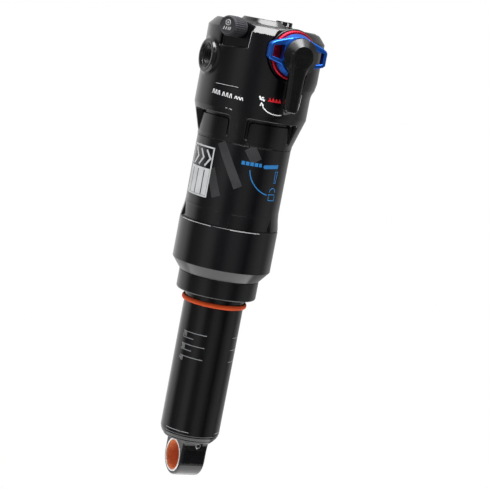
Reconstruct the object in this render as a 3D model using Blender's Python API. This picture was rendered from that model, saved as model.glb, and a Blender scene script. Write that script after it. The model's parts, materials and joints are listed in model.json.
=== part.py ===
"""Trunnion-mount air rear shock for a mountain bicycle, 185 mm between mounts with 55 mm of stroke.

The origin is the centre of the trunnion axis. +Z runs up the shock towards the top of the head, X is the
trunnion axis, and the controls face -Y. Numbers below are millimetres; the meshes are made in metres.
"""

import math

import bmesh
import bpy
from mathutils import Matrix, Vector

MM = 0.001

# Driving dimensions.
EYE_TO_TRUNNION = 185.0
STROKE = 55.0
GAP = 0.3
TRUNNION_WIDTH = 54.0
BOSS_R = 7.6
TRUNNION_BORE_R = 5.0
TRUNNION_DEPTH = 12.0
COUNTERSINK_R = 5.6
COUNTERSINK_DEPTH = 0.8

HEAD_R = 25.6
HEAD_TOP = 17.6
HUB_R = 12.4
HUB_TOP = 20.0
FAIRING_AZ = 65.0
FAIRING_SHIFT = 4.8
FAIRING_R = 22.6
HEAD_EDGE_Z = 13.9
HEAD_SHOULDER_Z = -21.6
SEAM_Z = -35.7
CAN_R = 21.5
AIR_BORE_R = 19.5
THREAD_R = 20.7
CHAMBER_TOP = -12.0
SKIRT_TOP = -24.0

SLEEVE_R = 22.67
SLEEVE_TOP = -73.0
SLEEVE_EDGE = -92.4
SLEEVE_END = -97.5
COLLAR_R = 18.5
COLLAR_END = -106.4

TUBE_R = 13.8
TUBE_BORE_R = 12.3
TUBE_TOP = -88.5
TUBE_END = -174.3
RUNNING_R = TUBE_R + GAP

SHAFT_R = 4.5
SHAFT_TOP = -1.3
SHAFT_SHOULDER = -93.8
SHAFT_END = -105.0
SHAFT_TIP_R = 3.0
ROD_BORE_R = 1.7
ROD_R = 1.4

AIR_PISTON_TOP = -78.0
AIR_PISTON_BASE = -88.2
AIR_PISTON_R = AIR_BORE_R - GAP
MAIN_PISTON_TOP = -95.3
MAIN_PISTON_BASE = -100.3
FLOATING_TOP = -153.5
FLOATING_BASE = -158.5

EYE_R = 9.2
EYE_WIDTH = 12.7
BUSHING_R = 7.5
BUSHING_BORE_R = 6.35

CONTROL_X = 3.0
CONTROL_Z = 7.0
CONTROL_FACE_Y = -22.8
SPINDLE_R = 2.6
SPINDLE_END = -20.4
CONTROL_POCKET_R = 12.2
KNOB_BORE_R = 3.0
BASE_RING_R = 11.5
REBOUND_R = 10.9
DIAL_R = 9.6
DIAL_BACK = 3.6
DIAL_FACE = 7.0
LEVER_CAP_R = 8.1
DETENT_DROP = 7.0
DETENT_BORE_R = 1.4

VALVE_AZ = -57.0
VALVE_Z = 14.6
VALVE_SEAT_R = 22.4
VALVE_FLAT_HALF = 7.4
CAP_R = 4.5
CAP_BACK_R = 23.0
CAP_FACE_R = 33.0

ADJUSTER_X = 5.0
ADJUSTER_Y = -7.0
ADJUSTER_R = 3.85
ADJUSTER_TOP = 20.6

SIDES_LARGE = 36
SIDES_MEDIUM = 28
SIDES_SMALL = 16


# ---------------------------------------------------------------- helpers

def clear_scene():
    """Remove whatever the file opened with."""
    for item in list(bpy.data.objects):
        bpy.data.objects.remove(item, do_unlink=True)


def finish_mesh(bm, name, smooth_deg=35.0):
    """Turn a bmesh in millimetres into an object in metres with outward faces."""
    bmesh.ops.remove_doubles(bm, verts=bm.verts, dist=1e-4)
    bmesh.ops.recalc_face_normals(bm, faces=bm.faces)
    bmesh.ops.scale(bm, vec=(MM, MM, MM), verts=bm.verts)
    mesh = bpy.data.meshes.new(name)
    bm.to_mesh(mesh)
    bm.free()
    mesh.shade_smooth()
    mesh.set_sharp_from_angle(angle=math.radians(smooth_deg))
    item = bpy.data.objects.new(name, mesh)
    bpy.context.scene.collection.objects.link(item)
    return item


def turned_bmesh(profile, sides, start_deg=0.0):
    """Spin a closed (radius, height) outline about Z."""
    bm = bmesh.new()
    verts = [bm.verts.new((r, 0.0, z)) for r, z in profile]
    edges = [bm.edges.new((verts[i], verts[(i + 1) % len(verts)])) for i in range(len(verts))]
    on_axis = [e for e in edges if all(abs(v.co.x) < 1e-6 for v in e.verts)]
    bmesh.ops.delete(bm, geom=on_axis, context="EDGES_FACES")
    bmesh.ops.rotate(bm, verts=bm.verts, matrix=Matrix.Rotation(math.radians(start_deg), 3, "Z"))
    bmesh.ops.spin(
        bm,
        geom=bm.verts[:] + bm.edges[:],
        axis=(0.0, 0.0, 1.0),
        cent=(0.0, 0.0, 0.0),
        steps=sides,
        angle=math.tau,
        use_merge=True,
    )
    return bm


def turned(name, profile, sides=SIDES_LARGE, matrix=None):
    """A turned part; matrix moves it in millimetres from the Z axis to where it lies."""
    bm = turned_bmesh(profile, sides)
    if matrix is not None:
        bmesh.ops.transform(bm, matrix=matrix, verts=bm.verts)
    return finish_mesh(bm, name)


def prism(name, outline, low, high, matrix=None):
    """An outline in the XY plane extruded from low to high along Z, then placed by matrix."""
    bm = bmesh.new()
    face = bm.faces.new([bm.verts.new((x, y, low)) for x, y in outline])
    grown = bmesh.ops.extrude_face_region(bm, geom=[face])
    top = [g for g in grown["geom"] if isinstance(g, bmesh.types.BMVert)]
    bmesh.ops.translate(bm, verts=top, vec=(0.0, 0.0, high - low))
    if matrix is not None:
        bmesh.ops.transform(bm, matrix=matrix, verts=bm.verts)
    return finish_mesh(bm, name)


def facing(direction_deg, origin=(0.0, 0.0, 0.0)):
    """Matrix whose Z points outwards at this azimuth, whose Y is up, for a part on the side of the shock.

    Azimuth 0 is -Y, and it grows towards +X.
    """
    turn = math.radians(direction_deg)
    outward = Vector((math.sin(turn), -math.cos(turn), 0.0))
    up = Vector((0.0, 0.0, 1.0))
    side = up.cross(outward)
    frame = Matrix((side, up, outward)).transposed().to_4x4()
    return Matrix.Translation(origin) @ frame


def along_x(origin=(0.0, 0.0, 0.0)):
    """Matrix that lays a turned part's axis along +X."""
    return Matrix.Translation(origin) @ Matrix.Rotation(math.radians(90.0), 4, "Y")


def ring_sector(name, inner, outer, az_from, az_to, low, high, steps=12):
    """A block bent round the Z axis, between two radii, two azimuths and two heights."""
    bm = bmesh.new()
    rows = []
    for step in range(steps + 1):
        turn = math.radians(az_from + (az_to - az_from) * step / steps)
        x, y = math.sin(turn), -math.cos(turn)
        corners = ((inner, low), (outer, low), (outer, high), (inner, high))
        rows.append([bm.verts.new((x * r, y * r, z)) for r, z in corners])
    bm.faces.new(rows[0])
    bm.faces.new(rows[-1])
    for here, there in zip(rows, rows[1:]):
        for i in range(4):
            j = (i + 1) % 4
            bm.faces.new((here[i], here[j], there[j], there[i]))
    return finish_mesh(bm, name)


def combine(target, tool, operation):
    """Apply one exact Boolean to target and delete the tool."""
    modifier = target.modifiers.new("combine", "BOOLEAN")
    modifier.operation = operation
    modifier.solver = "EXACT"
    modifier.object = tool
    tool.hide_render = True
    tool.display_type = "WIRE"
    graph = bpy.context.evaluated_depsgraph_get()
    graph.update()
    result = bpy.data.meshes.new_from_object(target.evaluated_get(graph))
    target.modifiers.clear()
    target.data = result
    bpy.data.objects.remove(tool, do_unlink=True)
    target.data.shade_smooth()
    target.data.set_sharp_from_angle(angle=math.radians(35.0))
    return target


def cut(target, tool):
    """Remove the tool's shape from target."""
    return combine(target, tool, "DIFFERENCE")


def join(target, tool):
    """Add the tool's shape to target."""
    return combine(target, tool, "UNION")


def set_origin(item, point):
    """Move an object's origin to a point in millimetres without moving its mesh."""
    shift = Vector(point) * MM
    item.data.transform(Matrix.Translation(-shift))
    item.location = shift


def paint(item, colour, roughness, metallic):
    """Give the object a material of its own."""
    material = bpy.data.materials.new(item.name + "_finish")
    material.use_nodes = True
    shader = material.node_tree.nodes["Principled BSDF"]
    shader.inputs["Base Color"].default_value = (*colour, 1.0)
    shader.inputs["Roughness"].default_value = roughness
    shader.inputs["Metallic"].default_value = metallic
    item.data.materials.clear()
    item.data.materials.append(material)
    return item


def black_anodised(item):
    """Satin black anodised aluminium."""
    return paint(item, (0.012, 0.012, 0.014), 0.3, 0.9)


def black_rubber(item):
    """Moulded black rubber."""
    return paint(item, (0.02, 0.02, 0.022), 0.7, 0.0)


def steel(item):
    """Ground steel."""
    return paint(item, (0.55, 0.55, 0.56), 0.3, 1.0)


def bare_alloy(item):
    """Machined aluminium."""
    return paint(item, (0.7, 0.7, 0.72), 0.35, 1.0)


def glide_plastic(item):
    """Bearing plastic."""
    return paint(item, (0.28, 0.2, 0.12), 0.5, 0.0)


def band(name, inner, outer, low, high, sides=SIDES_MEDIUM):
    """A square-edged ring, for seals in grooves, glide bands and shims."""
    return turned(name, ((inner, low), (outer, low), (outer, high), (inner, high)), sides)


def round_ring(name, inner, outer, low, high, sides=SIDES_MEDIUM):
    """A ring with broken corners, for rubber that shows."""
    cut_back = min(outer - inner, high - low) * 0.25
    profile = (
        (inner, low + cut_back),
        (inner + cut_back, low),
        (outer - cut_back, low),
        (outer, low + cut_back),
        (outer, high - cut_back),
        (outer - cut_back, high),
        (inner + cut_back, high),
        (inner, high - cut_back),
    )
    return turned(name, profile, sides)


def helix(name, radius, wire, length, turns, matrix):
    """A compression spring: a round wire swept along a helix, with flat filled ends."""
    points_per_turn = 10
    count = int(turns * points_per_turn)
    curve = bpy.data.curves.new(name, "CURVE")
    curve.dimensions = "3D"
    curve.bevel_depth = wire * MM
    curve.bevel_resolution = 1
    curve.use_fill_caps = True
    spline = curve.splines.new("POLY")
    spline.points.add(count)
    for i in range(count + 1):
        turn = math.tau * i / points_per_turn
        height = wire + (length - 2 * wire) * i / count
        point = Vector((radius * math.cos(turn), radius * math.sin(turn), height))
        spline.points[i].co = (*(matrix @ point) * MM, 1.0)
    item = bpy.data.objects.new(name, curve)
    bpy.context.scene.collection.objects.link(item)
    return item


def empty(name, point):
    """An empty at a joint or assembly reference, in millimetres."""
    item = bpy.data.objects.new(name, None)
    item.location = Vector(point) * MM
    bpy.context.scene.collection.objects.link(item)
    return item


def hang(parent, *items):
    """Parent items to an empty without moving them."""
    inverse = Matrix.Translation(-parent.location)
    for item in items:
        item.parent = parent
        item.matrix_parent_inverse = inverse


# ---------------------------------------------------------------- head and air can

def make_trunnion_head():
    """The machined head: trunnion bosses, control seat, valve pocket, windows and air chamber roof."""
    profile = (
        (THREAD_R, SEAM_Z + 0.1),
        (CAN_R + 0.1, SEAM_Z + 0.1),
        (CAN_R + 0.2, SEAM_Z + 1.7),
        (HEAD_R - 0.2, HEAD_SHOULDER_Z - 0.2),
        (HEAD_R, HEAD_SHOULDER_Z + 0.4),
        (HEAD_R, HEAD_EDGE_Z),
        (23.2, 16.7),
        (22.2, HEAD_TOP),
        (HUB_R, HEAD_TOP),
        (HUB_R - 1.8, HUB_TOP),
        (0.0, HUB_TOP),
        (0.0, 6.6),
        (ROD_BORE_R + 0.2, 6.6),
        (ROD_BORE_R + 0.2, SHAFT_TOP + GAP),
        (SHAFT_R + GAP, SHAFT_TOP + GAP),
        (SHAFT_R + GAP, CHAMBER_TOP),
        (AIR_BORE_R, CHAMBER_TOP),
        (AIR_BORE_R, SKIRT_TOP),
        (THREAD_R, SKIRT_TOP),
    )
    head = turned("trunnion_head", profile, SIDES_LARGE)
    join(head, head_fairing())
    for side in (-1, 1):
        add_trunnion(head, side)
    cut_control_seat(head)
    cut_valve_pocket(head)
    cut_neck_windows(head)
    cut_adjuster_bore(head)
    return black_anodised(head)


def head_fairing():
    """The swelling of the barrel between the controls and the right trunnion."""
    profile = (
        (15.0, -5.0),
        (FAIRING_R - 1.6, -8.0),
        (FAIRING_R, -4.0),
        (FAIRING_R, HEAD_EDGE_Z - 0.3),
        (FAIRING_R - 2.4, 16.4),
        (FAIRING_R - 3.3, HEAD_TOP - 0.4),
        (15.0, HEAD_TOP - 0.4),
    )
    turn = math.radians(FAIRING_AZ)
    x, y = FAIRING_SHIFT * math.sin(turn), -FAIRING_SHIFT * math.cos(turn)
    return turned("fairing", profile, SIDES_LARGE, Matrix.Translation((x, y, 0.0)))


def add_trunnion(head, side):
    """One trunnion boss, chamfered at its face, with its blind bolt hole; side is -1 or 1 along X."""
    turn = Matrix.Rotation(math.radians(90.0 * side), 4, "Y")
    face = TRUNNION_WIDTH / 2
    root = HEAD_R - 5.6
    chamfer = 0.5
    boss = ((0.0, root), (BOSS_R, root), (BOSS_R, face - chamfer), (BOSS_R - chamfer, face), (0.0, face))
    join(head, turned("boss", boss, SIDES_MEDIUM, turn))
    floor = face - TRUNNION_DEPTH
    clear = face + 3.0
    bore = (
        (0.0, floor),
        (TRUNNION_BORE_R, floor),
        (TRUNNION_BORE_R, face - COUNTERSINK_DEPTH),
        (COUNTERSINK_R, face),
        (COUNTERSINK_R, clear),
        (0.0, clear),
    )
    cut(head, turned("bore", bore, SIDES_MEDIUM, turn))


def control_matrix(depth_y):
    """Matrix for a part on the control axis: its Z points to -Y from depth_y."""
    return facing(0.0, (CONTROL_X, depth_y, CONTROL_Z))


def detent_place():
    """Matrix of the detent under the control axis: its Z points to -Y from the control face."""
    return facing(0.0, (CONTROL_X, CONTROL_FACE_Y, CONTROL_Z - DETENT_DROP))


def cut_control_seat(head):
    """A round pocket for the controls, the finger slot under it, the spindle bore and the detent bore."""
    reach = HEAD_R + CONTROL_FACE_Y + 3.0
    pocket = ((0.0, 0.0), (CONTROL_POCKET_R, 0.0), (CONTROL_POCKET_R, reach), (0.0, reach))
    cut(head, turned("pocket", pocket, SIDES_MEDIUM, control_matrix(CONTROL_FACE_Y)))
    slot = ((3.7, CONTROL_Z), (3.7, -19.6), (7.8, -19.6), (10.1, -17.0), (11.5, 0.0), (13.5, CONTROL_Z))
    cut(head, prism("slot", slot, 0.0, reach, facing(0.0, (0.0, CONTROL_FACE_Y, 0.0))))
    bore_end, bore_r = SPINDLE_END - 0.6, SPINDLE_R + GAP
    bore = ((0.0, bore_end), (bore_r, bore_end), (bore_r, 1.0), (0.0, 1.0))
    cut(head, turned("spindle_bore", bore, SIDES_SMALL, control_matrix(CONTROL_FACE_Y)))
    detent = ((0.0, -6.0), (DETENT_BORE_R, -6.0), (DETENT_BORE_R, 1.0), (0.0, 1.0))
    cut(head, turned("detent_bore", detent, 12, detent_place()))


def cut_valve_pocket(head):
    """A flat floor for the air valve, the threaded seat in it and the drilling down to the air chamber."""
    half, clear = VALVE_FLAT_HALF, HUB_TOP + 4.0
    outline = ((-half, 5.6), (half, 6.6), (half, clear), (-half, clear))
    cut(head, prism("valve_flat", outline, VALVE_SEAT_R, HEAD_R + 4.0, facing(VALVE_AZ)))
    seat = ((0.0, 14.0), (2.5, 14.0), (2.5, HEAD_R + 2.0), (0.0, HEAD_R + 2.0))
    shaft_line = facing(VALVE_AZ, (0.0, 0.0, VALVE_Z))
    cut(head, turned("valve_seat", seat, SIDES_SMALL, shaft_line))
    turn = math.radians(VALVE_AZ)
    x, y = 15.4 * math.sin(turn), -15.4 * math.cos(turn)
    drilling = ((0.0, CHAMBER_TOP - 1.0), (1.1, CHAMBER_TOP - 1.0), (1.1, VALVE_Z), (0.0, VALVE_Z))
    cut(head, turned("drilling", drilling, 12, Matrix.Translation((x, y, 0.0))))


def cut_neck_windows(head):
    """Four lightening windows round the cone, with a cylindrical floor."""
    for az_from, az_to in ((-105.0, -46.5), (-28.0, 36.0), (75.0, 133.5), (152.0, 216.0)):
        window = ring_sector("window", CAN_R + 0.1, HEAD_R + 2.0, az_from, az_to, -33.0, -23.9)
        cut(head, window)


def cut_adjuster_bore(head):
    """A recess in the hub for the bottom-out adjuster, with a blind bore for its stem."""
    recess, clear = ADJUSTER_R + 0.6, HUB_TOP + 1.0
    bore = (
        (0.0, 12.0),
        (2.4, 12.0),
        (2.4, HEAD_TOP - GAP),
        (recess, HEAD_TOP - GAP),
        (recess, clear),
        (0.0, clear),
    )
    place = Matrix.Translation((ADJUSTER_X, ADJUSTER_Y, 0.0))
    cut(head, turned("adjuster_bore", bore, SIDES_MEDIUM, place))


def make_air_can():
    """The air can: a threaded spigot inside the head, the barrel and a flare over the sleeve's edge."""
    profile = (
        (AIR_BORE_R, -91.5),
        (20.8, -91.5),
        (20.8, SLEEVE_TOP + 0.1),
        (SLEEVE_R - 0.1, SLEEVE_TOP + 0.1),
        (22.3, -71.2),
        (21.7, -68.3),
        (CAN_R, -66.0),
        (CAN_R, SEAM_Z - 0.2),
        (THREAD_R - GAP, SEAM_Z - 0.2),
        (THREAD_R - GAP, -25.8),
        (AIR_BORE_R, -25.8),
    )
    return black_anodised(turned("air_can", profile))


def make_negative_sleeve():
    """The lower sleeve that closes the negative air chamber, chamfered in to the collar."""
    profile = (
        (17.7, SLEEVE_END),
        (18.6, SLEEVE_END),
        (SLEEVE_R, SLEEVE_EDGE),
        (SLEEVE_R, SLEEVE_TOP - 0.2),
        (21.1, SLEEVE_TOP - 0.2),
        (21.1, -92.6),
        (17.7, -94.6),
    )
    return black_anodised(turned("negative_sleeve", profile))


def make_wiper_collar():
    """The collar at the bottom of the can, which holds the guide bushing and the dust wiper."""
    profile = (
        (RUNNING_R + 0.1, -93.0),
        (RUNNING_R + 0.1, -95.4),
        (15.4, -95.4),
        (15.4, -99.6),
        (RUNNING_R + 0.1, -99.6),
        (RUNNING_R + 0.1, -101.5),
        (16.4, -101.5),
        (16.4, -105.4),
        (RUNNING_R + 0.5, -105.4),
        (RUNNING_R + 0.5, COLLAR_END),
        (18.1, COLLAR_END),
        (COLLAR_R, -105.5),
        (COLLAR_R, SLEEVE_END - 0.2),
        (17.4, SLEEVE_END - 0.2),
        (17.4, -93.0),
    )
    return black_anodised(turned("wiper_collar", profile))


def make_can_seals():
    """Static seals and running bushings of the can."""
    return [
        black_rubber(band("head_can_seal", 19.7, 20.4, -25.5, -24.3, SIDES_LARGE)),
        black_rubber(band("sleeve_seal", 18.0, 19.1, -93.2, -92.0, SIDES_LARGE)),
        black_rubber(band("wiper_seal", RUNNING_R, 16.1, -105.1, -101.8)),
        glide_plastic(band("guide_bushing", RUNNING_R, 15.1, -99.3, -95.7)),
    ]


# ---------------------------------------------------------------- damper internals

def make_piston_shaft():
    """The hollow shaft fixed in the head, stepped down for the piston stack."""
    profile = (
        (ROD_BORE_R, SHAFT_END),
        (SHAFT_TIP_R, SHAFT_END),
        (SHAFT_TIP_R, SHAFT_SHOULDER),
        (SHAFT_R, SHAFT_SHOULDER),
        (SHAFT_R, SHAFT_TOP),
        (ROD_BORE_R, SHAFT_TOP),
    )
    return steel(turned("piston_shaft", profile, SIDES_SMALL))


def make_rebound_rod():
    """The rod inside the shaft that the rebound knob pushes."""
    profile = (
        (0.0, -103.6),
        (0.5, -103.0),
        (ROD_R, -100.0),
        (ROD_R, 4.6),
        (0.0, 4.6),
    )
    return steel(turned("rebound_rod", profile, 12))


def make_main_piston():
    """The damping piston with four oil ports and a groove for its band."""
    profile = (
        (SHAFT_TIP_R + GAP, MAIN_PISTON_BASE),
        (11.8, MAIN_PISTON_BASE),
        (11.8, -99.6),
        (10.9, -99.6),
        (10.9, -96.0),
        (11.8, -96.0),
        (11.8, MAIN_PISTON_TOP),
        (SHAFT_TIP_R + GAP, MAIN_PISTON_TOP),
    )
    piston = turned("main_piston", profile, SIDES_MEDIUM)
    for quarter in range(4):
        turn = math.radians(90.0 * quarter + 45.0)
        place = Matrix.Translation((7.3 * math.cos(turn), 7.3 * math.sin(turn), 0.0))
        port = ((0.0, -101.0), (1.4, -101.0), (1.4, -94.5), (0.0, -94.5))
        cut(piston, turned("port", port, 10, place))
    return bare_alloy(piston)


def make_piston_stack():
    """What the shaft's end carries with the piston: its band, the shims on both sides and the nut."""
    nut_outline = [
        (5.2 * math.cos(math.radians(60.0 * i)), 5.2 * math.sin(math.radians(60.0 * i))) for i in range(6)
    ]
    nut = prism("piston_nut", nut_outline, -104.4, -101.9)
    hole = ((0.0, -105.5), (SHAFT_TIP_R + GAP, -105.5), (SHAFT_TIP_R + GAP, -101.0), (0.0, -101.0))
    cut(nut, turned("hole", hole, SIDES_SMALL))
    return [
        make_main_piston(),
        glide_plastic(band("main_piston_band", 11.2, 12.0, -99.3, -96.3)),
        steel(band("rebound_shims", SHAFT_TIP_R + GAP, 5.6, -95.0, -94.1, SIDES_SMALL)),
        steel(band("compression_shims", SHAFT_TIP_R + GAP, 9.6, -101.6, -100.6, SIDES_SMALL)),
        steel(nut),
    ]


def make_chamber_fittings():
    """The bumper for the end of the stroke and the spacer that sets the chamber's volume."""
    bumper = (
        (SHAFT_R + GAP, -21.6),
        (8.6, -22.2),
        (11.0, -20.4),
        (11.8, -16.0),
        (11.8, CHAMBER_TOP - GAP),
        (SHAFT_R + GAP, CHAMBER_TOP - GAP),
    )
    spacer = (
        (13.6, -17.6),
        (19.1, -17.6),
        (19.1, CHAMBER_TOP - GAP),
        (13.6, CHAMBER_TOP - GAP),
    )
    return [
        black_rubber(turned("bottom_out_bumper", bumper, SIDES_MEDIUM)),
        paint(turned("volume_spacer", spacer, SIDES_LARGE), (0.06, 0.07, 0.09), 0.5, 0.0),
    ]


# ---------------------------------------------------------------- sliding damper

def make_damper_tube():
    """The damper body that slides through the collar."""
    profile = (
        (TUBE_BORE_R, TUBE_END),
        (12.8, TUBE_END),
        (TUBE_R, TUBE_END + 2.2),
        (TUBE_R, TUBE_TOP),
        (TUBE_BORE_R, TUBE_TOP),
    )
    return black_anodised(turned("damper_body", profile))


def make_air_piston():
    """The seal head screwed into the tube, which is the air spring's piston as well."""
    profile = (
        (SHAFT_R + GAP, -93.3),
        (TUBE_BORE_R - GAP, -93.3),
        (TUBE_BORE_R - GAP, AIR_PISTON_BASE),
        (AIR_PISTON_R, AIR_PISTON_BASE),
        (AIR_PISTON_R, -86.6),
        (18.0, -86.6),
        (18.0, -84.4),
        (AIR_PISTON_R, -84.4),
        (AIR_PISTON_R, -83.4),
        (17.2, -83.4),
        (17.2, -80.4),
        (AIR_PISTON_R, -80.4),
        (AIR_PISTON_R, -79.0),
        (18.2, AIR_PISTON_TOP),
        (6.6, AIR_PISTON_TOP),
        (6.6, -80.8),
        (SHAFT_R + GAP, -80.8),
    )
    return bare_alloy(turned("air_piston", profile, SIDES_LARGE))


def make_air_piston_seals():
    """The running seals of the air piston and the bumper under it."""
    return [
        black_rubber(band("air_piston_seal", 17.5, 19.2, -83.1, -80.7, SIDES_LARGE)),
        glide_plastic(band("air_piston_glide", 18.3, 19.2, -86.3, -84.7, SIDES_LARGE)),
        black_rubber(band("shaft_seal", SHAFT_R + GAP, 6.3, -80.5, -78.4, SIDES_SMALL)),
        black_rubber(round_ring("top_out_bumper", RUNNING_R, 17.0, -92.6, -88.8)),
    ]


def make_floating_piston():
    """The piston between the oil and the nitrogen, with its seal."""
    profile = (
        (0.0, -156.9),
        (9.4, -156.9),
        (9.9, FLOATING_BASE),
        (12.0, FLOATING_BASE),
        (12.0, -157.2),
        (10.8, -157.2),
        (10.8, -154.8),
        (12.0, -154.8),
        (12.0, FLOATING_TOP),
        (0.0, FLOATING_TOP),
    )
    piston = bare_alloy(turned("floating_piston", profile, SIDES_MEDIUM))
    seal = black_rubber(band("floating_piston_seal", 11.1, 12.0, -156.9, -155.1))
    return [piston, seal]


def eye_outline():
    """The eyelet lug seen along X, as (y, z): a round end under a flared neck."""
    points = []
    steps = 20
    for i in range(steps + 1):
        turn = math.pi * i / steps
        points.append((EYE_R * math.cos(turn), -EYE_TO_TRUNNION - EYE_R * math.sin(turn)))
    points += [(-EYE_R, -180.0), (-9.7, -177.0), (-11.0, -175.4), (-11.0, TUBE_END - GAP)]
    points += [(11.0, TUBE_END - GAP), (11.0, -175.4), (9.7, -177.0), (EYE_R, -180.0)]
    return points


def make_bottom_eyelet():
    """The eyelet with the plug that closes the damper tube, bored for its bushing."""
    plug = (
        (0.0, -169.5),
        (TUBE_BORE_R - GAP, -169.5),
        (TUBE_BORE_R - GAP, TUBE_END - GAP),
        (12.4, TUBE_END - GAP),
        (11.6, -175.6),
        (0.0, -175.6),
    )
    eyelet = turned("bottom_eyelet", plug, SIDES_MEDIUM)
    half = EYE_WIDTH / 2
    upright = Matrix(((0.0, 0.0, 1.0), (1.0, 0.0, 0.0), (0.0, 1.0, 0.0))).to_4x4()
    outline = eye_outline()
    lug = prism("lug", outline, -half, half, upright)
    join(eyelet, lug)
    centre = (0.0, 0.0, -EYE_TO_TRUNNION)
    bore = ((0.0, -20.0), (BUSHING_R + GAP, -20.0), (BUSHING_R + GAP, 20.0), (0.0, 20.0))
    cut(eyelet, turned("eye_bore", bore, SIDES_MEDIUM, along_x(centre)))
    groove = ((10.9, -172.4), (TUBE_BORE_R + 1.0, -172.4), (TUBE_BORE_R + 1.0, -170.8), (10.9, -170.8))
    cut(eyelet, turned("seal_groove", groove, SIDES_MEDIUM))
    port = ((0.0, 6.6), (1.5, 6.6), (1.5, 14.0), (0.0, 14.0))
    cut(eyelet, turned("charge_port", port, 16, facing(0.0, (0.0, 0.0, -176.4))))
    return black_anodised(eyelet)


def make_eyelet_fittings():
    """The pressed bushing, the plug's seal and the screw that closes the charge port."""
    half = EYE_WIDTH / 2 - 0.1
    sleeve = (
        (BUSHING_BORE_R, -half + 0.3),
        (BUSHING_BORE_R + 0.3, -half),
        (BUSHING_R, -half),
        (BUSHING_R, half),
        (BUSHING_BORE_R + 0.3, half),
        (BUSHING_BORE_R, half - 0.3),
    )
    centre = (0.0, 0.0, -EYE_TO_TRUNNION)
    bushing = turned("eyelet_bushing", sleeve, SIDES_MEDIUM, along_x(centre))
    screw = ((0.0, 6.9), (1.2, 6.9), (1.2, 9.6), (0.0, 9.6))
    screw_item = turned("charge_port_screw", screw, 12, facing(0.0, (0.0, 0.0, -176.4)))
    socket = ((0.0, 8.4), (0.6, 8.4), (0.6, 11.0), (0.0, 11.0))
    cut(screw_item, turned("socket", socket, 6, facing(0.0, (0.0, 0.0, -176.4))))
    return [
        paint(bushing, (0.75, 0.2, 0.08), 0.4, 0.2),
        black_rubber(band("eyelet_seal", 11.2, 12.0, -172.1, -171.1)),
        steel(screw_item),
    ]


# ---------------------------------------------------------------- controls

def make_control_base():
    """The fixed ring that the knobs turn on, with the detent ball's hole."""
    top = 1.5
    profile = (
        (KNOB_BORE_R, GAP),
        (BASE_RING_R, GAP),
        (BASE_RING_R, top - 0.4),
        (BASE_RING_R - 0.4, top),
        (KNOB_BORE_R, top),
    )
    base = turned("control_base", profile, SIDES_MEDIUM, control_matrix(CONTROL_FACE_Y))
    hole_r = DETENT_BORE_R - 0.1
    hole = ((0.0, 0.0), (hole_r, 0.0), (hole_r, top * 2), (0.0, top * 2))
    cut(base, turned("hole", hole, 12, detent_place()))
    return black_anodised(base)


def make_rebound_knob():
    """The red ring between the fixed ring and the dial."""
    back, face = 1.8, DIAL_BACK - GAP
    profile = (
        (KNOB_BORE_R, back),
        (REBOUND_R, back),
        (REBOUND_R, face - 0.3),
        (REBOUND_R - 0.4, face),
        (KNOB_BORE_R, face),
    )
    knob = turned("rebound_knob", profile, SIDES_LARGE, control_matrix(CONTROL_FACE_Y))
    set_origin(knob, (CONTROL_X, CONTROL_FACE_Y, CONTROL_Z))
    return paint(knob, (0.45, 0.01, 0.03), 0.3, 0.9)


def dial_ear(name, side, outline, low, high):
    """One looped ear of the compression dial, or the window in it; side is -1 or 1 along X."""
    outline = [(side * x, y) for x, y in outline][::side]
    return prism(name, outline, low, high, control_matrix(CONTROL_FACE_Y))


def make_compression_dial():
    """The blue dial with two looped ears."""
    profile = (
        (KNOB_BORE_R, DIAL_BACK),
        (DIAL_R, DIAL_BACK),
        (DIAL_R, DIAL_BACK + 0.8),
        (DIAL_R - 1.2, DIAL_FACE),
        (KNOB_BORE_R, DIAL_FACE),
    )
    dial = turned("compression_dial", profile, SIDES_MEDIUM, control_matrix(CONTROL_FACE_Y))
    ear = (
        (5.0, -5.0),
        (8.4, -4.2),
        (13.2, -2.9),
        (14.2, -2.0),
        (14.2, 3.4),
        (13.6, 4.3),
        (11.5, 5.4),
        (5.0, 7.5),
    )
    window = ((7.4, -2.4), (12.3, -1.5), (12.3, 3.1), (7.4, 3.9))
    for side in (-1, 1):
        join(dial, dial_ear("ear", side, ear, DIAL_BACK, DIAL_FACE))
    for side in (-1, 1):
        cut(dial, dial_ear("window", side, window, DIAL_BACK - 0.6, DIAL_FACE + 0.9))
    set_origin(dial, (CONTROL_X, CONTROL_FACE_Y, CONTROL_Z))
    return paint(dial, (0.02, 0.1, 0.5), 0.3, 0.9)


def make_threshold_lever():
    """The lever: a conical cap on the control axis with an arm that hangs down at rest."""
    back, face = DIAL_FACE + GAP, 11.8
    cap = (
        (0.0, back),
        (LEVER_CAP_R - 0.7, back),
        (LEVER_CAP_R, back + 2.0),
        (LEVER_CAP_R, face - 1.8),
        (LEVER_CAP_R - 3.0, face),
        (0.0, face),
    )
    lever = turned("threshold_lever", cap, SIDES_MEDIUM, control_matrix(CONTROL_FACE_Y))
    arm = (
        (-4.2, 0.0),
        (-3.4, -12.0),
        (-3.1, -22.6),
        (-2.0, -23.7),
        (2.0, -23.7),
        (3.1, -22.6),
        (3.4, -12.0),
        (4.2, 0.0),
    )
    join(lever, prism("arm", arm, back + GAP, face - 0.6, control_matrix(CONTROL_FACE_Y)))
    socket = ((0.0, 0.0), (SPINDLE_R + GAP, 0.0), (SPINDLE_R + GAP, 9.4), (0.0, 9.4))
    cut(lever, turned("socket", socket, SIDES_SMALL, control_matrix(CONTROL_FACE_Y)))
    set_origin(lever, (CONTROL_X, CONTROL_FACE_Y, CONTROL_Z))
    return black_anodised(lever)


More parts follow.
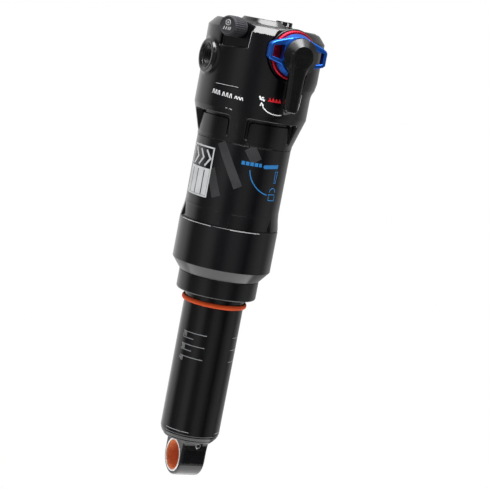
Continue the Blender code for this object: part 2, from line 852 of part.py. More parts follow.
def make_control_spindle():
    """The spindle that the lever turns, with a flat cam at its inner end."""
    tip, neck = 9.0, SPINDLE_R - 0.6
    profile = (
        (0.0, SPINDLE_END),
        (neck, SPINDLE_END),
        (SPINDLE_R, SPINDLE_END + 0.6),
        (SPINDLE_R, tip),
        (0.0, tip),
    )
    spindle = turned("control_spindle", profile, SIDES_SMALL, control_matrix(CONTROL_FACE_Y))
    set_origin(spindle, (CONTROL_X, CONTROL_FACE_Y, CONTROL_Z))
    return steel(spindle)


def make_detent():
    """The ball and spring that click the rebound knob."""
    place = detent_place()
    radius, centre = 0.9, 0.5
    steps = 6
    arc = [
        (radius * math.sin(math.pi * i / steps), centre - radius * math.cos(math.pi * i / steps))
        for i in range(steps + 1)
    ]
    arc[0] = (0.0, centre - radius)
    arc[-1] = (0.0, centre + radius)
    ball = turned("detent_ball", arc, 12, place)
    spring = helix("detent_spring", 0.85, 0.18, 4.9, 5, place @ Matrix.Translation((0.0, 0.0, -5.7)))
    return [steel(ball), paint(spring, (0.5, 0.5, 0.52), 0.35, 1.0)]


def make_bottom_out_adjuster():
    """The castellated adjuster in the top face, with its stem."""
    profile = (
        (0.0, 12.4),
        (2.1, 12.4),
        (2.1, HEAD_TOP + GAP),
        (ADJUSTER_R, HEAD_TOP + GAP),
        (ADJUSTER_R, ADJUSTER_TOP - 0.5),
        (ADJUSTER_R - 0.5, ADJUSTER_TOP),
        (0.0, ADJUSTER_TOP),
    )
    place = Matrix.Translation((ADJUSTER_X, ADJUSTER_Y, 0.0))
    knob = turned("bottom_out_adjuster", profile, 24, place)
    flute_count = 8
    reach, flute_r = ADJUSTER_R + 0.15, 0.75
    low, high = HEAD_TOP + 0.9, ADJUSTER_TOP + 1.0
    for i in range(flute_count):
        turn = math.tau * i / flute_count
        x, y = ADJUSTER_X + reach * math.cos(turn), ADJUSTER_Y + reach * math.sin(turn)
        flute = ((0.0, low), (flute_r, low), (flute_r, high), (0.0, high))
        cut(knob, turned("flute", flute, 10, Matrix.Translation((x, y, 0.0))))
    set_origin(knob, (ADJUSTER_X, ADJUSTER_Y, ADJUSTER_TOP))
    return black_anodised(knob)


# ---------------------------------------------------------------- air valve

def make_valve():
    """The valve body with its seal, core and cap, along the valve's own axis."""
    axis = facing(VALVE_AZ, (0.0, 0.0, VALVE_Z))
    body = (
        (1.5, 16.6),
        (2.2, 16.6),
        (2.2, VALVE_SEAT_R + 0.4),
        (3.2, VALVE_SEAT_R + 0.8),
        (3.2, CAP_FACE_R - 2.6),
        (2.9, CAP_FACE_R - 2.2),
        (1.5, CAP_FACE_R - 2.2),
    )
    seal = ((3.5, 22.7), (4.3, 22.7), (4.3, 23.6), (3.5, 23.6))
    core = ((0.5, 19.0), (1.2, 19.0), (1.2, 26.0), (0.5, 26.0))
    pin = ((0.0, 17.2), (1.0, 17.2), (1.0, 17.8), (0.2, 18.4), (0.2, 27.6), (0.0, 27.6))
    cap = (
        (CAP_R - 1.0, CAP_BACK_R + 0.9),
        (CAP_R - 0.2, CAP_BACK_R + 0.9),
        (CAP_R, CAP_BACK_R + 1.2),
        (CAP_R, CAP_FACE_R - 0.6),
        (CAP_R - 0.6, CAP_FACE_R),
        (0.0, CAP_FACE_R),
        (0.0, CAP_FACE_R - 1.6),
        (CAP_R - 1.0, CAP_FACE_R - 1.6),
    )
    turn = math.radians(VALVE_AZ)
    cap_item = turned("valve_cap", cap, 28, axis)
    back = CAP_BACK_R
    set_origin(cap_item, (back * math.sin(turn), -back * math.cos(turn), VALVE_Z))
    return [
        paint(turned("valve_body", body, SIDES_SMALL, axis), (0.55, 0.42, 0.2), 0.35, 1.0),
        black_rubber(turned("valve_seal", seal, SIDES_SMALL, axis)),
        steel(turned("valve_core", core, 14, axis)),
        steel(turned("valve_pin", pin, 10, axis)),
        paint(cap_item, (0.02, 0.02, 0.022), 0.5, 0.0),
    ]


# ---------------------------------------------------------------- assembly

def make_sag_ring():
    """The O-ring on the tube that marks how far the shock has moved."""
    ring = round_ring("sag_o_ring", 13.98, 15.1, -111.2, -109.0, SIDES_LARGE)
    set_origin(ring, (0.0, 0.0, -110.1))
    return paint(ring, (0.8, 0.09, 0.01), 0.45, 0.0)


def main():
    """Build every piece and hang it on its assembly's empty."""
    clear_scene()
    head = empty("head_assembly", (0.0, 0.0, 0.0))
    controls = empty("control_axis", (CONTROL_X, CONTROL_FACE_Y, CONTROL_Z))
    damper = empty("damper_assembly", (0.0, 0.0, -EYE_TO_TRUNNION))
    hang(head, make_trunnion_head(), make_air_can(), make_negative_sleeve(), make_wiper_collar())
    hang(head, *make_can_seals())
    hang(head, make_piston_shaft(), *make_piston_stack(), *make_chamber_fittings())
    hang(head, *make_valve(), make_bottom_out_adjuster(), *make_detent())
    hang(controls, make_control_base(), make_rebound_knob(), make_compression_dial())
    hang(controls, make_threshold_lever(), make_control_spindle())
    hang(head, make_rebound_rod())
    hang(damper, make_damper_tube(), make_air_piston(), *make_air_piston_seals())
    hang(damper, *make_floating_piston(), make_bottom_eyelet(), *make_eyelet_fittings())
    make_sag_ring()


main()
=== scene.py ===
"""Looks of a trunnion-mount air rear shock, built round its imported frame.

Lengths inside the classes are millimetres, in the frame's own axes: +Z runs up the shock from the eyelet to
the head, X is the trunnion axis and the controls face -Y. Azimuths are degrees from -Y towards +X.
"""

import json
import logging
import math
from collections.abc import Callable, Iterable, Sequence
from dataclasses import dataclass, field
from enum import Enum

import bpy
import numpy as np
from mathutils import Matrix, Vector


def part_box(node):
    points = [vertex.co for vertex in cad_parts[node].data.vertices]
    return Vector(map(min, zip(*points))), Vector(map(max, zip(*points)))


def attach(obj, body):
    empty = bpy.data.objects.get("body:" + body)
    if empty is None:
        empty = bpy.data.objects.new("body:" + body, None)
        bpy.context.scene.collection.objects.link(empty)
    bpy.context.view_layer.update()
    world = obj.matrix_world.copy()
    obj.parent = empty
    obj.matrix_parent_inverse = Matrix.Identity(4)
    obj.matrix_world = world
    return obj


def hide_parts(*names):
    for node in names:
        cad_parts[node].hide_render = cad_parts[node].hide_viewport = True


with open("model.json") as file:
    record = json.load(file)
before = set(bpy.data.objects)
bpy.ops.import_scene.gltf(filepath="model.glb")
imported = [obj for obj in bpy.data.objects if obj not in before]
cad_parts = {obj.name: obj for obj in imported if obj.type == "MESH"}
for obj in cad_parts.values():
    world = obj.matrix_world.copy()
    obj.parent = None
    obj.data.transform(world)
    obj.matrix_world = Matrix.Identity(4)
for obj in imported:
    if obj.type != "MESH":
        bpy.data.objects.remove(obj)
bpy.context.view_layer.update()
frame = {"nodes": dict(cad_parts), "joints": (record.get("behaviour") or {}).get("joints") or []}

LOG = logging.getLogger("rear_shock")
MM = 0.001
ON_AXIS = 1e-9
UPRIGHT = Matrix()
Colour = tuple[float, float, float]
Outline = Sequence[tuple[float, ...]]
Points = np.ndarray
Distance = Callable[[Points], np.ndarray]


# ---------------------------------------------------------------- finishes


class Grain(Enum):
    """How a surface was made, which sets the relief of its finest detail."""

    BLASTED = "bead blasted"
    TURNED = "turned on a lathe"
    MOULDED = "moulded"
    INK = "printed ink"


@dataclass(frozen=True)
class Finish:
    """One procedural surface finish, written to a Principled shader."""

    name: str
    slot: str
    colour: Colour
    metallic: float = 0.0
    roughness: float = 0.4
    specular: float = 0.5
    coat: float = 0.0
    grain: Grain = Grain.BLASTED
    grain_mm: float = 0.12
    relief_mm: float = 0.003
    mottle: float = 0.05
    tint_change: float = 0.12
    wear: float = 0.0
    lay: tuple[float, float, float] = (0.0, 0.0, 1.0)

    def material(self) -> bpy.types.Material:
        """The finish's material, made once."""
        found = bpy.data.materials.get(self.name)
        return found or self._build()

    def _build(self) -> bpy.types.Material:
        """Make the node tree: tint, worn edges, roughness and grain.

        Returns:
            The new material.
        """
        material = bpy.data.materials.new(self.name)
        material.use_nodes = True
        tree = material.node_tree
        shader = tree.nodes["Principled BSDF"]
        shader.inputs["Metallic"].default_value = self.metallic
        shader.inputs["Specular IOR Level"].default_value = self.specular
        shader.inputs["Coat Weight"].default_value = self.coat
        shader.inputs["Coat Roughness"].default_value = 0.12
        place = tree.nodes.new("ShaderNodeTexCoord").outputs["Object"]
        broad = self._noise(tree, place, 7.0, 3.0)
        tint = self._tint(tree, broad)
        tree.links.new(self._worn(tree, tint), shader.inputs["Base Color"])
        rough = tree.nodes.new("ShaderNodeMapRange")
        rough.inputs["To Min"].default_value = max(0.03, self.roughness - self.mottle)
        rough.inputs["To Max"].default_value = min(1.0, self.roughness + self.mottle)
        tree.links.new(self._noise(tree, place, 2.2, 4.0), rough.inputs["Value"])
        tree.links.new(rough.outputs["Result"], shader.inputs["Roughness"])
        bump = tree.nodes.new("ShaderNodeBump")
        bump.inputs["Strength"].default_value = 1.0
        bump.inputs["Distance"].default_value = self.relief_mm * MM
        tree.links.new(self._grain(tree, place), bump.inputs["Height"])
        tree.links.new(bump.outputs["Normal"], shader.inputs["Normal"])
        return material

    @staticmethod
    def _noise(
        tree: bpy.types.NodeTree, place: bpy.types.NodeSocket, size_mm: float, detail: float
    ) -> bpy.types.NodeSocket:
        """A noise value.

        Args:
            tree: the material's nodes.
            place: the coordinates that it reads.
            size_mm: the size of its blotches.
            detail: octaves of finer noise in it.

        Returns:
            The socket with its value.
        """
        noise = tree.nodes.new("ShaderNodeTexNoise")
        noise.inputs["Scale"].default_value = 1.0 / (size_mm * MM)
        noise.inputs["Detail"].default_value = detail
        tree.links.new(place, noise.inputs["Vector"])
        return noise.outputs["Fac"]

    def _tint(self, tree: bpy.types.NodeTree, broad: bpy.types.NodeSocket) -> bpy.types.NodeSocket:
        """The colour with its slow variation.

        Args:
            tree: the material's nodes.
            broad: a broad noise value.

        Returns:
            The socket with the colour.
        """
        ramp = tree.nodes.new("ShaderNodeValToRGB")
        for element, place, gain in (
            (ramp.color_ramp.elements[0], 0.3, 1.0 - self.tint_change),
            (ramp.color_ramp.elements[1], 0.7, 1.0 + self.tint_change),
        ):
            element.position = place
            element.color = (*(min(1.0, c * gain) for c in self.colour), 1.0)
        tree.links.new(broad, ramp.inputs["Fac"])
        return ramp.outputs["Color"]

    def _worn(self, tree: bpy.types.NodeTree, tint: bpy.types.NodeSocket) -> bpy.types.NodeSocket:
        """Lighten convex edges, where handling thins the finish.

        Args:
            tree: the material's nodes.
            tint: the colour away from edges.

        Returns:
            The socket with the colour, edges and all.
        """
        if self.wear <= 0.0:
            return tint
        geometry = tree.nodes.new("ShaderNodeNewGeometry")
        edge = tree.nodes.new("ShaderNodeMapRange")
        edge.inputs["From Min"].default_value = 0.53
        edge.inputs["From Max"].default_value = 0.62
        edge.inputs["To Max"].default_value = self.wear
        tree.links.new(geometry.outputs["Pointiness"], edge.inputs["Value"])
        mix = tree.nodes.new("ShaderNodeMix")
        mix.data_type = "RGBA"
        mix.inputs["B"].default_value = (0.35, 0.35, 0.36, 1.0)
        tree.links.new(edge.outputs["Result"], mix.inputs["Factor"])
        tree.links.new(tint, mix.inputs["A"])
        return mix.outputs["Result"]

    def _grain(self, tree: bpy.types.NodeTree, place: bpy.types.NodeSocket) -> bpy.types.NodeSocket:
        """The height of the finest detail: specks, or lines left by a turning tool.

        Args:
            tree: the material's nodes.
            place: object coordinates.

        Returns:
            The socket with the height.
        """
        if self.grain is not Grain.TURNED:
            return self._noise(tree, place, self.grain_mm, 2.0)
        along = tree.nodes.new("ShaderNodeVectorMath")
        along.operation = "DOT_PRODUCT"
        along.inputs[1].default_value = self.lay
        tree.links.new(place, along.inputs[0])
        line = tree.nodes.new("ShaderNodeCombineXYZ")
        tree.links.new(along.outputs["Value"], line.inputs["Z"])
        return self._noise(tree, line.outputs["Vector"], self.grain_mm, 2.0)


BLACK = (0.0024, 0.0024, 0.0033)
HEAD_BLACK = Finish("head_black", "black_anodised", BLACK, 0.0, 0.21, 0.5, grain_mm=0.16, wear=0.03)
CAN_BLACK = Finish("can_black", "black_anodised", BLACK, 0.0, 0.19, 0.5, grain_mm=0.12, wear=0.02)
TURNED_BLACK = Finish(
    "turned_black", "black_anodised", BLACK, 0.0, 0.24, 0.5, grain=Grain.TURNED, grain_mm=0.25
)
TUBE_BLACK = Finish(
    "tube_black", "black_anodised", (0.0022, 0.0022, 0.0025), 0.0, 0.17, 0.5, grain=Grain.TURNED, grain_mm=0.2
)
LEVER_BLACK = Finish(
    "lever_black", "black_anodised", (0.0022, 0.0026, 0.0024), 0.0, 0.24, 0.5, wear=0.03
)
# The next finish is a light grey ink for painted highlights, laid along edges and on the adjuster's ribs
# where they catch the light.
EDGE_HIGHLIGHT_PAINT = Finish("edge_highlight_paint", "bare_alloy", (0.60, 0.60, 0.61), 0.35, 0.35, 0.5, grain_mm=0.2)
RED = Finish("red_anodised", "red_anodised", (0.20, 0.003, 0.014), 0.8, 0.24, 0.5, coat=0.4)
BLUE = Finish("blue_anodised", "blue_anodised", (0.05, 0.22, 0.78), 0.75, 0.22, 0.6, coat=0.9, wear=0.3)
RUBBER = Finish(
    "black_rubber", "black_rubber", (0.008, 0.008, 0.009), 0.0, 0.6, 0.4, grain=Grain.MOULDED
)
ORANGE = Finish(
    "orange_rubber", "orange_rubber", (0.84, 0.10, 0.02), 0.0, 0.4, 0.5, grain=Grain.MOULDED
)
LINER = Finish("bushing_liner", "bushing_liner", (0.62, 0.13, 0.035), 0.2, 0.42, 0.5, grain_mm=0.3)
STEEL = Finish("ground_steel", "steel", (0.72, 0.72, 0.72), 1.0, 0.25, grain=Grain.TURNED)
ALLOY = Finish("bare_alloy", "bare_alloy", (0.74, 0.74, 0.76), 1.0, 0.3, grain=Grain.TURNED)
BRASS = Finish("valve_brass", "valve_brass", (0.6, 0.43, 0.17), 1.0, 0.28)
GLIDE = Finish("glide_plastic", "glide_plastic", (0.28, 0.2, 0.12), 0.0, 0.5, grain=Grain.TURNED)
SPACER = Finish(
    "spacer_plastic", "spacer_plastic", (0.06, 0.07, 0.09), 0.0, 0.5, grain=Grain.MOULDED
)
CAP_BLACK = Finish(
    "cap_plastic", "cap_plastic", (0.0022, 0.0022, 0.0024), 0.0, 0.42, 0.09, grain=Grain.MOULDED
)
WHITE_INK = Finish(
    "white_ink", "print_white", (0.86, 0.86, 0.87), 0.0, 0.5, 0.3, grain=Grain.INK, tint_change=0.03
)
SILVER_INK = Finish("silver_ink", "print_silver", (0.56, 0.57, 0.58), 0.0, 0.42, 0.4, grain=Grain.INK)
SATIN_INK = Finish("satin_ink", "print_silver", (0.10, 0.10, 0.105), 1.0, 0.5, 0.4, grain=Grain.INK)
SCALE_INK = Finish("scale_ink", "print_silver", (0.26, 0.27, 0.28), 0.0, 0.45, 0.4, grain=Grain.INK)
RED_INK = Finish("red_ink", "print_red", (0.62, 0.012, 0.02), 0.0, 0.5, 0.3, grain=Grain.INK)
BLUE_INK = Finish("blue_ink", "print_blue", (0.02, 0.17, 0.43), 0.0, 0.45, 0.4, grain=Grain.INK)


# ---------------------------------------------------------------- places


def azimuth_frame(azimuth: float, x: float = 0.0, y: float = 0.0, z: float = 0.0) -> Matrix:
    """Axes of a part on the side of the shock: its Z points outwards and its Y points up.

    Args:
        azimuth: the way it points, in degrees.
        x: the origin's X.
        y: the origin's Y.
        z: the origin's Z.

    Returns:
        The matrix from the part's axes to the frame's, in millimetres.
    """
    turn = math.radians(azimuth)
    outward = Vector((math.sin(turn), -math.cos(turn), 0.0))
    up = Vector((0.0, 0.0, 1.0))
    axes = Matrix((up.cross(outward), up, outward)).transposed().to_4x4()
    return Matrix.Translation((x, y, z)) @ axes


def into(matrix: Matrix, points: Points) -> Points:
    """Points of the frame in a part's own axes."""
    inverse = np.array(matrix.inverted())
    return points @ inverse[:3, :3].T + inverse[:3, 3]


def out_of(matrix: Matrix, points: Points) -> Points:
    """Points of a part's own axes in the frame."""
    table = np.array(matrix)
    return points @ table[:3, :3].T + table[:3, 3]


def span(node: str) -> tuple[Vector, Vector]:
    """A CAD node's lowest and highest corner, in millimetres."""
    low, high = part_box(node)
    return low / MM, high / MM


def joint_point(name: str) -> Vector:
    """Where a named joint's axis passes, in millimetres."""
    joint = next(j for j in frame["joints"] if j["name"] == name)
    return Vector(joint["pos_m"]) / MM


X_AXIS = Matrix(((0.0, 0.0, 1.0, 0.0), (1.0, 0.0, 0.0, 0.0), (0.0, 1.0, 0.0, 0.0), (0.0, 0.0, 0.0, 1.0)))
ALONG_X = Matrix(((0.0, 0.0, -1.0, 0.0), (-1.0, 0.0, 0.0, 0.0), (0.0, 1.0, 0.0, 0.0), (0.0, 0.0, 0.0, 1.0)))
CONTROL = azimuth_frame(0.0, *joint_point("lever_swing"))
EYE_Z = (span("eyelet_bushing")[0].z + span("eyelet_bushing")[1].z) / 2


# ---------------------------------------------------------------- pieces


def add_piece(
    name: str,
    points: Points,
    faces: Iterable[Sequence[int]],
    finish: Finish,
    body: str,
    replaces: Sequence[str] = (),
    normals: Points | None = None,
    sharp_deg: float = 38.0,
) -> bpy.types.Object:
    """Make one visible piece, which rides on a body.

    Args:
        name: the piece's name.
        points: its vertices in millimetres.
        faces: its faces, as indices.
        finish: what it is made of.
        body: the body that carries it.
        replaces: the CAD nodes that it stands for.
        normals: a normal for each vertex, where the surface gives them exactly.
        sharp_deg: the angle past which an edge is sharp, where it doesn't.

    Returns:
        The new object.
    """
    mesh = bpy.data.meshes.new(name)
    mesh.from_pydata((np.asarray(points, float) * MM).tolist(), [], [list(f) for f in faces])
    mesh.validate()
    mesh.shade_smooth()
    if normals is None:
        mesh.set_sharp_from_angle(angle=math.radians(sharp_deg))
    else:
        mesh.normals_split_custom_set_from_vertices(normals.tolist())
    mesh.materials.append(finish.material())
    piece = bpy.data.objects.new(name, mesh)
    bpy.context.scene.collection.objects.link(piece)
    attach(piece, body)
    if replaces:
        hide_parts(*replaces)
    LOG.info("%s rides on %s with %d faces", name, body, len(mesh.polygons))
    return piece


def rounded(outline: Outline, fillet: float, steps: int = 4) -> list[tuple[float, float]]:
    """Round an outline's corners.

    Args:
        outline: its corners; a third value is that corner's own radius.
        fillet: the radius of the others.
        steps: edges on each arc.

    Returns:
        The rounded outline.
    """
    made = []
    count = len(outline)
    for i, corner in enumerate(outline):
        here = np.array(corner[:2], float)
        radius = corner[2] if len(corner) > 2 else fillet
        before = np.array(outline[i - 1][:2], float) - here
        after = np.array(outline[(i + 1) % count][:2], float) - here
        lengths = np.linalg.norm(before), np.linalg.norm(after)
        a, b = before / lengths[0], after / lengths[1]
        half = math.acos(float(np.clip(a @ b, -1.0, 1.0))) / 2
        if radius <= 0.0 or half > math.radians(86.0) or here[0] < ON_AXIS:
            made.append((here[0], here[1]))
            continue
        reach = min(radius / math.tan(half), 0.48 * min(lengths))
        true_radius = reach * math.tan(half)
        middle = here + (a + b) / np.linalg.norm(a + b) * true_radius / math.sin(half)
        first, last = here + a * reach - middle, here + b * reach - middle
        sweep = math.pi - 2 * half
        for step in range(steps + 1):
            share = step / steps
            arm = (math.sin((1 - share) * sweep) * first + math.sin(share * sweep) * last) / math.sin(sweep)
            made.append(tuple(middle + arm))
    return made


@dataclass(frozen=True)
class Ribs:
    """Ribs cut along the outside of a turned piece."""

    count: int
    depth: float
    inside: float
    sharpness: float = 1.0

    def radius(self, radius: np.ndarray, turn: np.ndarray) -> np.ndarray:
        """Radii with the grooves taken out.

        Args:
            radius: the plain radii.
            turn: the angles round the axis, in radians.

        Returns:
            The new radii.
        """
        wave = (0.5 + 0.5 * np.cos(self.count * turn)) ** self.sharpness
        return np.where(radius > self.inside, radius - self.depth * wave, radius)


@dataclass
class Turned:
    """A turned piece: an outline of (radius, height), spun round an axis."""

    name: str
    outline: Outline
    finish: Finish
    body: str
    place: Matrix = field(default_factory=Matrix)
    fillet: float = 0.15
    steps: int = 3
    sides: int = 160
    ribs: Ribs | None = None
    replaces: Sequence[str] = ()

    def build(self) -> bpy.types.Object:
        """Spin the outline and add the piece.

        Returns:
            The new object.
        """
        outline = rounded(self.outline, self.fillet, self.steps)
        area = sum(p[0] * q[1] - q[0] * p[1] for p, q in zip(outline, outline[1:] + outline[:1]))
        if area < 0.0:
            outline = outline[::-1]
        count = len(outline)
        turn = np.linspace(0.0, math.tau, self.sides, endpoint=False)
        radius = np.repeat(np.array([p[0] for p in outline])[:, None], self.sides, 1)
        if self.ribs is not None:
            radius = self.ribs.radius(radius, turn[None, :])
        height = np.repeat(np.array([p[1] for p in outline])[:, None], self.sides, 1)
        points = np.stack([radius * np.cos(turn), radius * np.sin(turn), height], -1).reshape(-1, 3)
        index = np.arange(count * self.sides).reshape(count, self.sides)
        pole = [i for i, p in enumerate(outline) if p[0] < ON_AXIS]
        for i in pole:
            index[i, :] = index[i, 0]
        faces = []
        for i in range(count):
            k = (i + 1) % count
            if i in pole and k in pole:
                continue
            for j in range(self.sides):
                m = (j + 1) % self.sides
                quad = [index[i, j], index[i, m], index[k, m], index[k, j]]
                faces.append([int(v) for n, v in enumerate(quad) if v != quad[n - 1]])
        used = np.unique(np.concatenate([np.array(f) for f in faces]))
        renumber = np.zeros(len(points), int)
        renumber[used] = np.arange(len(used))
        faces = [[int(renumber[v]) for v in f] for f in faces]
        placed = out_of(self.place, points[used])
        return add_piece(self.name, placed, faces, self.finish, self.body, self.replaces)


# ---------------------------------------------------------------- carved solids


def smooth_max(a: np.ndarray, b: np.ndarray, fillet: float) -> np.ndarray:
    """The larger of two distances, rounded where they meet."""
    near = np.maximum(fillet - np.abs(a - b), 0.0) / fillet
    return np.maximum(a, b) + near * near * fillet * 0.25


def outline_distance(points: Points, outline: Outline) -> np.ndarray:
    """Signed distance from points in a plane to a closed outline.

    Args:
        points: the points, as rows of two.
        outline: the outline's corners.

    Returns:
        The distances, negative inside.
    """
    corners = np.array([c[:2] for c in outline], float)
    nearest = np.full(len(points), np.inf)
    inside = np.zeros(len(points), bool)
    for here, there in zip(corners, np.roll(corners, -1, 0)):
        edge = there - here
        off = points - here
        share = np.clip(off @ edge / (edge @ edge), 0.0, 1.0)
        gap = off - share[:, None] * edge
        nearest = np.minimum(nearest, np.einsum("ij,ij->i", gap, gap))
        crosses = (here[1] > points[:, 1]) != (there[1] > points[:, 1])
        rise = edge[1] if abs(edge[1]) > 1e-12 else 1e-12
        at = here[0] + edge[0] * (points[:, 1] - here[1]) / rise
        inside ^= crosses & (points[:, 0] < at)
    return np.where(inside, -1.0, 1.0) * np.sqrt(nearest)


@dataclass(frozen=True)
class Solid:
    """A solid known by the signed distance to its surface, in millimetres."""

    distance: Distance

    def plus(self, other: "Solid", fillet: float = 0.3) -> "Solid":
        """This solid joined to another, with a fillet between them."""
        return Solid(lambda p: -smooth_max(-self.distance(p), -other.distance(p), fillet))

    def minus(self, other: "Solid", fillet: float = 0.45) -> "Solid":
        """This solid with another cut out of it, and the new edges broken."""
        return Solid(lambda p: smooth_max(self.distance(p), -other.distance(p), fillet))

    def within(self, other: "Solid", fillet: float = 0.45) -> "Solid":
        """What this solid and another share."""
        return Solid(lambda p: smooth_max(self.distance(p), other.distance(p), fillet))

    @staticmethod
    def turned(outline: Outline, place: Matrix | None = None) -> "Solid":
        """A (radius, height) outline spun round the Z of a place.

        Args:
            outline: its corners.
            place: its axes, or None for the frame's own.

        Returns:
            The turned solid.
        """

        def distance(points: Points) -> np.ndarray:
            """Signed distance to the surface.

            Args:
                points: rows of X, Y and Z.

            Returns:
                The distances, negative inside.
            """
            own = points if place is None else into(place, points)
            flat = np.stack([np.hypot(own[:, 0], own[:, 1]), own[:, 2]], -1)
            return outline_distance(flat, outline)

        return Solid(distance)

    @staticmethod
    def rod(radius: float, low: float, high: float, place: Matrix, edge: float = 0.3) -> "Solid":
        """A round bar from low to high along the Z of a place.

        Args:
            radius: its radius.
            low: its lower end.
            high: its upper end.
            place: its axes.
            edge: how far its end edges are broken.

        Returns:
            The bar.
        """

        def distance(points: Points) -> np.ndarray:
            """Signed distance to the surface.

            Args:
                points: rows of X, Y and Z.

            Returns:
                The distances, negative inside.
            """
            own = into(place, points)
            side = np.hypot(own[:, 0], own[:, 1]) - radius
            end = np.abs(own[:, 2] - (low + high) / 2) - (high - low) / 2
            return smooth_max(side, end, edge)

        return Solid(distance)

    @staticmethod
    def plate(outline: Outline, low: float, high: float, place: Matrix, edge: float = 0.4) -> "Solid":
        """A flat outline extruded from low to high along the Z of a place.

        Args:
            outline: its corners.
            low: its lower face.
            high: its upper face.
            place: its axes.
            edge: how far its face edges are broken.

        Returns:
            The plate.
        """

        def distance(points: Points) -> np.ndarray:
            """Signed distance to the surface.

            Args:
                points: rows of X, Y and Z.

            Returns:
                The distances, negative inside.
            """
            own = into(place, points)
            side = outline_distance(own[:, :2], outline)
            end = np.abs(own[:, 2] - (low + high) / 2) - (high - low) / 2
            return smooth_max(side, end, edge)

        return Solid(distance)

    @staticmethod
    def window(
        floor: float, azimuths: tuple[float, float], heights: tuple[float, float], corner: float
    ) -> "Solid":
        """The space over a patch of a cylinder round the Z axis, with round corners.

        Args:
            floor: the cylinder's radius.
            azimuths: its two sides, in degrees.
            heights: its bottom and top.
            corner: the radius of its corners.

        Returns:
            The space, open outwards.
        """
        middle = math.radians(sum(azimuths) / 2)
        half_arc = math.radians(azimuths[1] - azimuths[0]) / 2 * floor
        half_rise = (heights[1] - heights[0]) / 2

        def distance(points: Points) -> np.ndarray:
            """Signed distance to the surface.

            Args:
                points: rows of X, Y and Z.

            Returns:
                The distances, negative inside.
            """
            radius = np.hypot(points[:, 0], points[:, 1])
            azimuth = np.arctan2(points[:, 0], -points[:, 1])
            off = (azimuth - middle + math.pi) % math.tau - math.pi
            across = np.abs(off) * floor - half_arc + corner
            up = np.abs(points[:, 2] - sum(heights) / 2) - half_rise + corner
            flat = np.hypot(np.maximum(across, 0.0), np.maximum(up, 0.0))
            flat += np.minimum(np.maximum(across, up), 0.0) - corner
            return smooth_max(flat, floor - radius, 0.3)

        return Solid(distance)

    def slope(self, points: Points, step: float = 0.02) -> Points:
        """The direction in which the distance grows, by small differences.

        Args:
            points: where to look.
            step: how far to each side.

        Returns:
            One vector for each point.
        """
        moves = np.eye(3) * step
        rises = [self.distance(points + m) - self.distance(points - m) for m in moves]
        return np.stack(rises, -1) / (2 * step)


@dataclass
class Carved:
    """A piece whose surface is traced from a solid, on a grid and then onto the surface itself."""

    name: str
    solid: Solid
    low: tuple[float, float, float]
    high: tuple[float, float, float]
    step: float
    finish: Finish
    body: str
    replaces: Sequence[str] = ()

    def build(self) -> bpy.types.Object:
        """Trace the surface and add the piece.

        Returns:
            The new object.
        """
        points, faces = self._net()
        for _ in range(4):
            slope = self.solid.slope(points)
            gap = self.solid.distance(points) / np.maximum(np.einsum("ij,ij->i", slope, slope), 0.25)
            points = points - slope * np.clip(gap, -self.step / 2, self.step / 2)[:, None]
        normals = self.solid.slope(points)
        normals /= np.linalg.norm(normals, axis=1)[:, None]
        return add_piece(self.name, points, faces, self.finish, self.body, self.replaces, normals)

    def _sample(self, axes: list[np.ndarray]) -> np.ndarray:
        """Distances on the grid: exact near the surface, and a block's middle value away from it.

        Args:
            axes: the grid's coordinates along each axis.

        Returns:
            The distances.
        """
        block = 4
        counts = [len(a) for a in axes]
        coarse = [a[::block] + self.step * (block - 1) / 2 for a in axes]
        middles = np.stack(np.meshgrid(*coarse, indexing="ij"), -1).reshape(-1, 3)
        value = self.solid.distance(middles).reshape([len(c) for c in coarse])
        for axis in range(3):
            value = np.repeat(value, block, axis)
        value = value[: counts[0], : counts[1], : counts[2]]
        near = np.argwhere(np.abs(value) < self.step * block * 1.1)
        places = np.stack([axes[k][near[:, k]] for k in range(3)], -1)
        for chunk in np.array_split(np.arange(len(near)), max(1, len(near) // 60000)):
            value[tuple(near[chunk].T)] = self.solid.distance(places[chunk])
        return value

    def _net(self) -> tuple[Points, list[list[int]]]:
        """Put one vertex in each grid cell that the surface passes, and a quad across each crossed edge.

        Returns:
            The vertices and the quads.
        """
        counts = [int(math.ceil((end - start) / self.step)) + 1 for start, end in zip(self.low, self.high)]
        axes = [start + self.step * np.arange(n) for start, n in zip(self.low, counts)]
        value = self._sample(axes)
        cells = np.array(counts) - 1
        total = int(cells.prod())
        sums = np.zeros((total, 3))
        hits = np.zeros(total)
        quads = []
        for axis in range(3):
            front = np.take(value, range(counts[axis] - 1), axis)
            back = np.take(value, range(1, counts[axis]), axis)
            edges = np.argwhere((front < 0.0) != (back < 0.0))
            a, b = front[tuple(edges.T)], back[tuple(edges.T)]
            crossing = edges.astype(float)
            crossing[:, axis] += a / (a - b)
            one, two = (axis + 1) % 3, (axis + 2) % 3
            ring, whole = [], np.ones(len(edges), bool)
            for shift in ((0, 0), (-1, 0), (-1, -1), (0, -1)):
                cell = edges.copy()
                cell[:, one] += shift[0]
                cell[:, two] += shift[1]
                whole &= ((cell >= 0) & (cell < cells)).all(1)
                ring.append(np.ravel_multi_index(tuple(np.clip(cell, 0, cells - 1).T), tuple(cells)))
            for ids in ring:
                good = ids[whole]
                hits += np.bincount(good, minlength=total)
                for k in range(3):
                    sums[:, k] += np.bincount(good, weights=crossing[whole, k], minlength=total)
            quad = np.stack(ring, -1)[whole]
            outward = a[whole] < 0.0
            quads.append(np.where(outward[:, None], quad, quad[:, ::-1]))
        used = np.flatnonzero(hits)
        number = np.zeros(total, int)
        number[used] = np.arange(len(used))
        points = sums[used] / hits[used, None] * self.step + np.array(self.low)
        return points, number[np.concatenate(quads)].tolist()


# ---------------------------------------------------------------- prints


